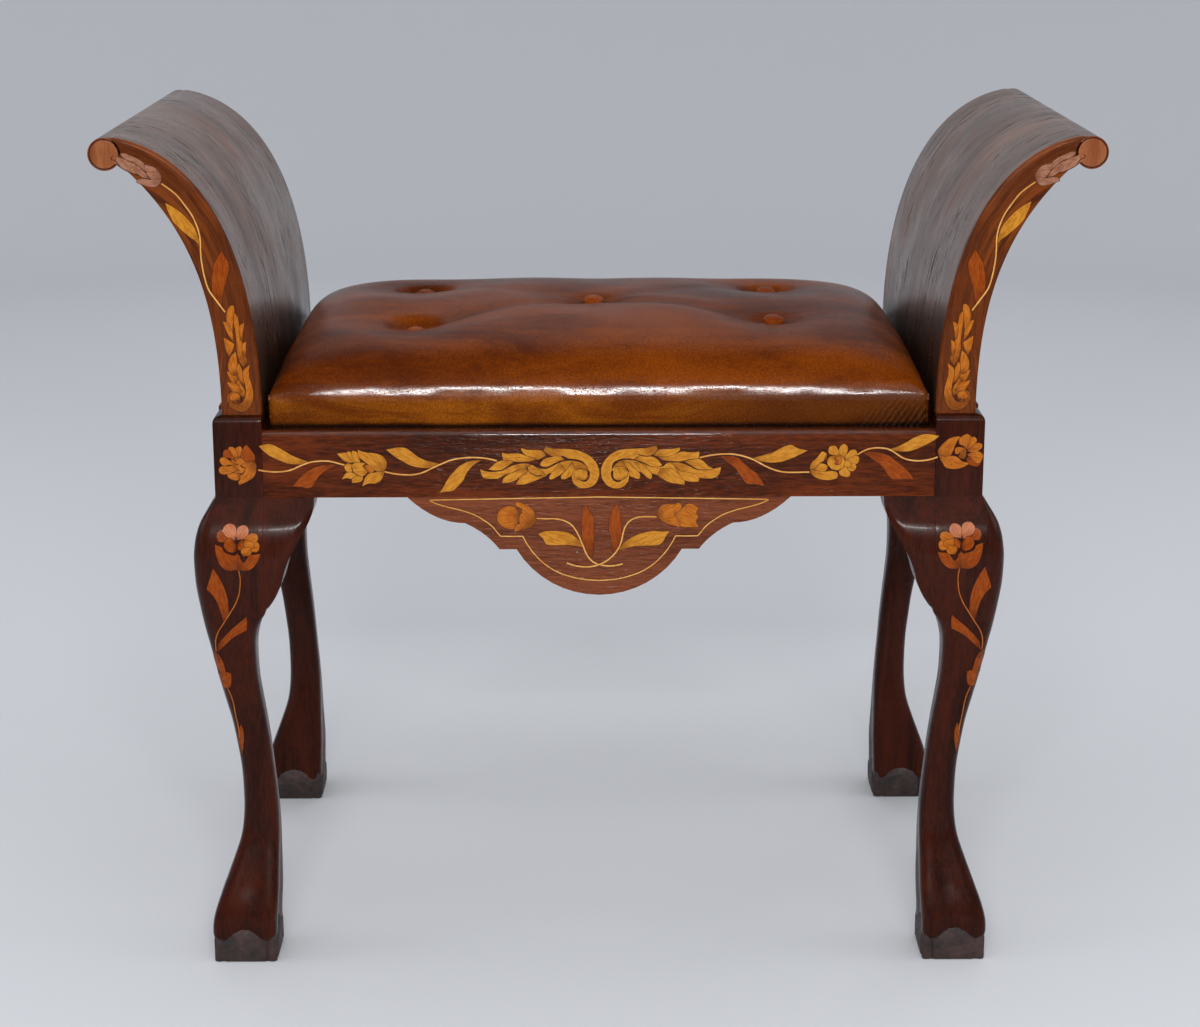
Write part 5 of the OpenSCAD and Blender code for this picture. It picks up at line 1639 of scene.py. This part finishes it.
def valley_depth(x, y):
    """Depth of the soft valleys that run from the middle button out to the other four."""
    depth = 0.0
    for bx, by in buttons[1:]:
        length = math.hypot(bx, by)
        along = (x * bx + y * by) / length
        off = abs(x * by - y * bx) / length
        if -20 < along < length + 20:
            middle = 1 - math.sin(math.pi * min(1, max(0, along / length))) ** 2 * 0.45
            ends = min(1, max(0, (along + 20) / 30)) * min(1, max(0, (length + 20 - along) / 30))
            full = VALLEY[0] if by < 0 else VALLEY[0] * 0.3
            depth = max(depth, full * middle * ends * math.exp(-(off / VALLEY[1]) ** 2))
    return depth


def seat_top(u, v, depth=0.0):
    """A point of the seat's top at shares u and v of its half size, and how much painted shade it
    gets near the buttons and in the valleys.
    """
    rise = crown_height(u, v)
    wander = 1 + 0.16 * math.sin(9 * u + 1.3) + 0.10 * math.sin(23 * u + 4 * v) + 0.05 * math.sin(57 * u)
    drawn = DRAW_IN + ROUND_OVER[0] * wander * rise / (rise + ROUND_OVER[1])
    x = u * (SEAT_HALF_X - depth - drawn * abs(u) ** 4)
    y = v * (SEAT_HALF_Y - depth - drawn * abs(v) ** 4)
    sunk = 0.0
    near = 0.0
    for (bx, by), (_, _, well, hollow, back) in zip(buttons, button_pulls):
        away = math.hypot(x - bx, y - by)
        spread = math.hypot((x - bx) / HOLLOW_WIDE, (y - by) / (back if y > by else HOLLOW_WIDE))
        eye_shaped = math.hypot((x - bx) / 1.55, (y - by) / (1.0 if y < by else back / 32))
        slope = min(1, max(0, (WELL_WIDE - eye_shaped) / (WELL_WIDE - WELL_FLAT)))
        sunk += well * slope * slope * (3 - 2 * slope)
        sunk += hollow * math.exp(-spread ** 2)
        turn = math.atan2(y - by, x - bx)
        ring = math.exp(-((away - PUCKER_R) / PUCKER_WIDE) ** 2)
        sunk += 0.4 * ring * math.cos(PUCKERS * turn + bx)
        # Painted shade: a dark ring round each button and a darkening close to it, for the leather's colour
        # only.
        crease_shade = 0.95 * math.exp(-((away - SHADE_RING_R) / SHADE_RING_WIDE) ** 2)
        near = max(near, 0.3 * math.exp(-(away / PUCKER_R) ** 2) + crease_shade)
    full = rise / CROWN
    valley = valley_depth(x, y) * full
    uneven = 0.7 * math.sin(x / 37 + 1) * math.sin(y / 29 + 2) + 0.5 * math.sin(x / 17 + y / 23)
    z = SEAT_EDGE_Z - depth + rise - (sunk + valley - uneven * full ** 2) * full
    x, y = round_corner(x, y, depth)
    return (x, y, z), min(1, near + valley / VALLEY[0] * 0.3)


def crown_height(u, v):
    """Height of the full crown over its edge, before the buttons pull it down."""
    return CROWN * math.sqrt(max(0, 1 - abs(u) ** CROWN_ACROSS) * max(0, 1 - abs(v) ** CROWN_DEEP))


def net_shares(count):
    """Shares of the half size for the lines of the net, crowded together towards the edges."""
    shares = []
    for k in range(count + 1):
        side = 2 * k / count - 1
        left = 1 - abs(side)
        span = 2 * NET_CROWDED - NET_CROWDED ** 2
        inside = left ** 2 if left < NET_CROWDED else 2 * NET_CROWDED * left - NET_CROWDED ** 2
        shares.append(math.copysign(1 - inside / span, side))
    return shares


def round_corner(x, y, depth=0.0):
    """Moves a point of the seat's plan so that the plan's corners are round."""
    over_x = (abs(x) - (SEAT_HALF_X - depth - CORNER_R)) / CORNER_R
    over_y = (abs(y) - (SEAT_HALF_Y - depth - CORNER_R)) / CORNER_R
    if over_x <= 0 or over_y <= 0:
        return x, y
    over_x = min(1, over_x)
    over_y = min(1, over_y)
    near_x = over_x * math.sqrt(1 - over_y ** 2 / 2)
    near_y = over_y * math.sqrt(1 - over_x ** 2 / 2)
    return (math.copysign(SEAT_HALF_X - depth - CORNER_R + near_x * CORNER_R, x),
            math.copysign(SEAT_HALF_Y - depth - CORNER_R + near_y * CORNER_R, y))


def seat_form(name, columns, rows, depth, levels, materials):
    """The top as a fine net, closer towards its edges, and rings below its border at the levels:
    each a height and a distance inside the plan."""
    us = net_shares(columns)
    vs = net_shares(rows)
    points = []
    crease_shades = []
    for v in vs:
        for u in us:
            point, crease_shade = seat_top(u, v, depth)
            points.append(point)
            crease_shades.append(crease_shade)
    wide = columns + 1
    faces = [[j * wide + i, j * wide + i + 1, (j + 1) * wide + i + 1, (j + 1) * wide + i]
             for j in range(rows) for i in range(columns)]
    border = ([(i, 0) for i in range(columns)] + [(columns, j) for j in range(rows)]
              + [(i, rows) for i in range(columns, 0, -1)] + [(0, j) for j in range(rows, 0, -1)])
    upper = [j * wide + i for i, j in border]
    for level, inside in levels:
        lower = []
        for i, j in border:
            x = us[i] * SEAT_HALF_X
            y = vs[j] * SEAT_HALF_Y
            pull = DRAW_IN * max(0, (level - FULLEST_Z) / (SEAT_EDGE_Z - FULLEST_Z)) ** 2
            if abs(us[i]) == 1:
                x -= math.copysign(pull, x)
            if abs(vs[j]) == 1:
                y -= math.copysign(pull, y)
            x, y = round_corner(x, y)
            fold = corner_folds(x, y, level) if depth == 0 and inside <= 0.4 else 0.0
            shrink_x = 1 - (inside + depth + fold * (abs(us[i]) == 1)) / SEAT_HALF_X
            shrink_y = 1 - (inside + depth + fold * (abs(vs[j]) == 1)) / SEAT_HALF_Y
            lower.append(len(points))
            points.append((x * shrink_x, y * shrink_y, level))
            # A fold's depth also gives painted shade in the fold.
            crease_shades.append(min(1, max(0, fold)))
        count = len(border)
        for k in range(count):
            n = (k + 1) % count
            faces.append([upper[k], upper[n], lower[n], lower[k]])
        upper = lower
    if depth > 0:
        faces.append(upper[::-1])
    piece = new_piece(name, points, faces, materials, 60)
    # The attribute carries the painted shade of the wells, valleys, button rings and corner folds to the
    # leather's colour.
    kept = piece.data.attributes.new("crease_shade", "FLOAT", "POINT")
    kept.data.foreach_set("value", crease_shades[:len(piece.data.vertices)])
    return piece


def corner_folds(x, y, level):
    """Depth of the slanting folds where the leather is drawn round the lower corners."""
    corner = min(SEAT_HALF_X - abs(x), 60) + min(SEAT_HALF_Y - abs(y), 60)
    if corner > FOLD_REACH:
        return 0.0
    side = 1 if x > 0 else 0.25
    reach = (1 - corner / FOLD_REACH) ** 1.2 * max(0, (464 - level) / 22) * min(1, (level - 430) / 8)
    wave = math.sin((corner + (level - 430) * 0.75) / 1.35 + (0 if x > 0 else 2))
    return max(0, reach) * side * (0.55 + 0.75 * wave)


def horsehair():
    """Curled brown and grey hair, matted together."""
    finish = Finish("horsehair")
    curl = finish.noise(finish.along("Z", 2), 300, 5, 0.75, 3.0)
    mat = finish.noise(finish.place(), 46, 3, 0.6)
    return finish.surface(
        Base_Color=finish.blend(finish.range(curl * 0.7 + mat * 0.3, 0.3, 0.7),
                                colour(44, 32, 24), colour(122, 100, 78)),
        Roughness=0.8,
        Normal=finish.bump(curl, 0.003, 1.0),
    )


stuffing = seat_form(
    "seat_stuffing_curled", 84, 60, 2.2, ((459, 0), (454, 0.3), (453.4, 1.4)), (horsehair(),))
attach(stuffing, "seat")
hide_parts("seat_stuffing")

# Button twines and toggles
# A waxed twine runs from each button down through the stuffing to a beech toggle under the webbing.
TWINE_R = 0.9
BUTTON_LIFT = 4.6
twine_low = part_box("seat_button_twines")[0][2] / MM
twine_wax = Finish("waxed_twine")
twist = twine_wax.noise(twine_wax.along("Z", 0.4), 900, 3, 0.6)
twine_wax.surface(
    Base_Color=twine_wax.blend(twist, colour(150, 126, 86), colour(206, 184, 140)),
    Roughness=0.55 + twist * 0.2,
    Normal=twine_wax.bump(twist, 0.0003, 0.8),
)
button_levels = [seat_top(u, v)[0][2] + BUTTON_LIFT for u, v, _, _, _ in button_pulls]
twines = []
for (x, y), top in zip(buttons, button_levels):
    deselect()
    bpy.ops.mesh.primitive_cylinder_add(
        vertices=16,
        radius=TWINE_R * MM,
        depth=(top - twine_low) * MM,
        location=Vector((x, y, (top + twine_low) / 2)) * MM,
    )
    twines.append(bpy.context.object)
twines_tied = joined(twines, "seat_button_twines_tied")
bpy.ops.object.shade_smooth_by_angle(angle=math.radians(40))
twines_tied.data.materials.append(twine_wax.material)
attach(twines_tied, "seat")
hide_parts("seat_button_twines")
refinish("seat_toggles", seat_beech_y)

# Leather cover
# One hand-dyed hide drawn over the stuffing, turned under the frame and tacked, glossy with wax.
LEATHER_THICK = 1.5
TURN_UNDER = 18
FOLD_PITCH = 0.0040


def dyed_hide(name, dark, light, side_tint_and_shade=1.0):
    """Antiqued leather: tan dye rubbed darker in streaks, olive on the seat's sides, with a fine pebbled
    grain that breaks up the wax's shine. Painted shade darkens its hollows and folds, and a painted
    shadow its lowest edge. The last value scales the olive sides, the folds with their painted shade,
    and that painted shadow."""
    finish = Finish(name)
    cloud = finish.noise(finish.along("X", 0.45), 9, 4, 0.6, 0.6)
    rub = finish.noise(finish.along("X", 0.3), 34, 4, 0.65, 0.8)
    speck = finish.noise(finish.place(), 210, 3, 0.6)
    # Painted shade from the seat's net: darker in the wells, valleys, corner folds and rings round the
    # buttons.
    crease_shade = finish.node("Attribute", {"attribute_name": "crease_shade"}, None, 2)
    tone = finish.range(cloud * 0.6 + rub * 0.32 + speck * 0.08, 0.36, 0.62)
    hide = finish.blend(tone, dark, light)
    across = finish.spot()
    height = across.output(2)
    low = 1 - finish.range(height + (rub - 0.5) * 0.004, 0.462, 0.474)
    olive = finish.blend(finish.range(rub, 0.35, 0.65), colour(104, 48, 6), colour(146, 80, 12))
    brown = finish.range(across + (rub - 0.5) * 0.25, 0.02, 0.16)
    olive = finish.blend(brown * 0.75, olive, colour(62, 27, 9))
    hide = finish.blend(low * (0.85 * side_tint_and_shade), hide, olive)
    hide = finish.blend(crease_shade * 0.85, hide, colour(26, 10, 4))
    out_x = across.size()
    out_y = across.output(1).size()
    slant = (out_x + out_y) * 0.82 - height * 0.57 + (rub - 0.5) * 0.004
    folds = (slant * (2 * math.pi / FOLD_PITCH)).sine()
    gathered = finish.range(out_x, 0.196, 0.238) * finish.range(out_y, 0.118, 0.150)
    gathered = gathered * (1 - finish.range(height, 0.446, 0.466)) * finish.range(across, -0.2, 0.2, 0.15, 1)
    # Painted shade: the troughs of the folds at the lower corners are darkened.
    hide = finish.blend(gathered * (0.5 - folds * 0.5) * (0.6 * side_tint_and_shade), hide, colour(24, 10, 4))
    # Painted shadow: the leather's sides go nearly black at and below the rail's top, standing for the
    # shaded gap beside the rail.
    painted_dark_band = 1 - finish.range(height + (rub - 0.5) * 0.002, 0.4415, 0.4455)
    hide = finish.blend(painted_dark_band * (0.96 * side_tint_and_shade), hide, colour(10, 6, 5))
    pebble = finish.node("TexVoronoi", {"feature": "F1"}, {"Vector": finish.place(), "Scale": 600})
    hide = finish.blend(finish.range(pebble, 0.3, 0.62) * 0.3, hide, colour(38, 14, 2))
    fine = finish.noise(finish.place(), 1300, 2, 0.5)
    grain = pebble * 0.75 + fine * 0.35 + folds * gathered * side_tint_and_shade
    edge = finish.range(height, 0.4600, 0.4625) * (1 - finish.range(height, 0.4715, 0.4755))
    waxed = finish.range(fine, 0.42, 0.56) * finish.range(rub * 0.5 + cloud * 0.5, 0.40, 0.47)
    worn = finish.noise(finish.place(), 14, 3, 0.6)
    return finish.surface(
        Base_Color=hide,
        Roughness=finish.range(worn, 0.3, 0.7, 0.17, 0.24),
        Normal=finish.bump(grain, 0.00042, 1.0),
        Specular_IOR_Level=0.035,
        Coat_Weight=edge * waxed * 0.85 + 0.01,
        Coat_Roughness=0.15,
    )


seat_hide = dyed_hide("dyed_hide", colour(74, 25, 1), colour(128, 58, 2))
edge_levels = [
    (z, BULGE * (((z - FULLEST_Z) / (SEAT_EDGE_Z - FULLEST_Z)) ** 2 - 1))
    for z in (465, 464, 463, 462, 461, 460)
]
cover = seat_form("seat_cover_drawn", 220, 150, 0.0, (
    *edge_levels, (458, -0.24), (455, -0.2), (452, -0.15), (449, -0.1), (445, -0.05), (441, 0), (437, 0),
    (433, 0), (430, 0.2), (428.4, 0.7), (427.5, 1.8), (427.2, 3.5), (427.2, 8), (427.2, 13),
    (427.2, TURN_UNDER),
), (seat_hide,))
thicken(cover, LEATHER_THICK, -1, 60)
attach(cover, "seat")
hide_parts("seat_leather_cover")

# Buttons
# Five wooden moulds covered in the same hide: a shallow dome, a rolled rim and a flat back, each
# sunk in its well with its loop tied to a twine.
BUTTON_R = 9.0
BUTTON_DOME = 5.0
BUTTON_RIM = 0.5
BUTTON_SIDES = 48
BUTTON_BANDS = 24
button_hide = dyed_hide("button_hide", colour(104, 40, 5), colour(152, 72, 14), 0.0)


def mould_rings():
    """Rings of the mould: a ball that is flattened into a dome above its middle, with a groove
    inside its rim, and cut off flat below."""
    bends = [math.pi * k / BUTTON_BANDS for k in range(BUTTON_BANDS + 1)]
    wide = [BUTTON_R * math.sin(bend) for bend in bends]
    high = [BUTTON_R * math.cos(bend) for bend in bends]
    ball = [(reach, z) for reach, z in zip(wide, high) if z > -BUTTON_LIFT]
    ball.append((float(np.interp(-BUTTON_LIFT, high[::-1], wide[::-1])), -BUTTON_LIFT))
    rings = []
    for reach, z in ball:
        if z > 0.001:
            groove = BUTTON_RIM * math.exp(-((reach / BUTTON_R - 0.72) / 0.07) ** 2)
            z = z * BUTTON_DOME / BUTTON_R - groove
        turns = [2 * math.pi * k / BUTTON_SIDES for k in range(BUTTON_SIDES)]
        rings.append([(reach * math.cos(turn), reach * math.sin(turn), z) for turn in turns])
    return rings


button_rings = mould_rings()
mould_points = [point for ring in button_rings for point in ring]
mould = new_piece("button_mould", mould_points, loft(button_rings), smooth_angle=60)
moulds = []
for (u, v, _, _, _), (x, y), level in zip(button_pulls, buttons, button_levels):
    button = mould.copy()
    button.data = mould.data.copy()
    bpy.context.scene.collection.objects.link(button)
    button.rotation_euler = (math.radians(10 - 16 * v), math.radians(6) * u, 0)
    button.location = Vector((x, y, level)) * MM
    moulds.append(button)
bpy.data.objects.remove(mould)
covered = joined(moulds, "seat_buttons_covered")
covered.data.materials.append(button_hide)
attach(covered, "seat")
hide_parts("seat_buttons")

# Bottom cloth and tacks
# Black cambric closes the seat from below, inside the leather's turned edge, which is tacked all round.
CLOTH_HALF_X = 239.5
CLOTH_HALF_Y = 155.5
CLOTH_LOW = 427.9
CLOTH_THICK = 0.6
CLOTH_PITCH = 0.0009
cambric = Finish("black_cambric")
dust = cambric.range(cambric.noise(cambric.place(), 18, 4, 0.65), 0.45, 0.75)
cambric.surface(
    Base_Color=cambric.blend(dust * 0.5, colour(24, 22, 23), colour(74, 68, 62)),
    Roughness=0.86,
    Normal=cambric.bump(weave(cambric, CLOTH_PITCH), 0.0002, 0.6),
)
bottom_cloth = strained_cloth(
    "seat_bottom_cloth_strained", CLOTH_HALF_X, CLOTH_HALF_Y, CLOTH_LOW, CLOTH_THICK, cambric.material, 0.12)
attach(bottom_cloth, "seat")
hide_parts("seat_bottom_cloth")
refinish("seat_cover_tacks", steel_grey)
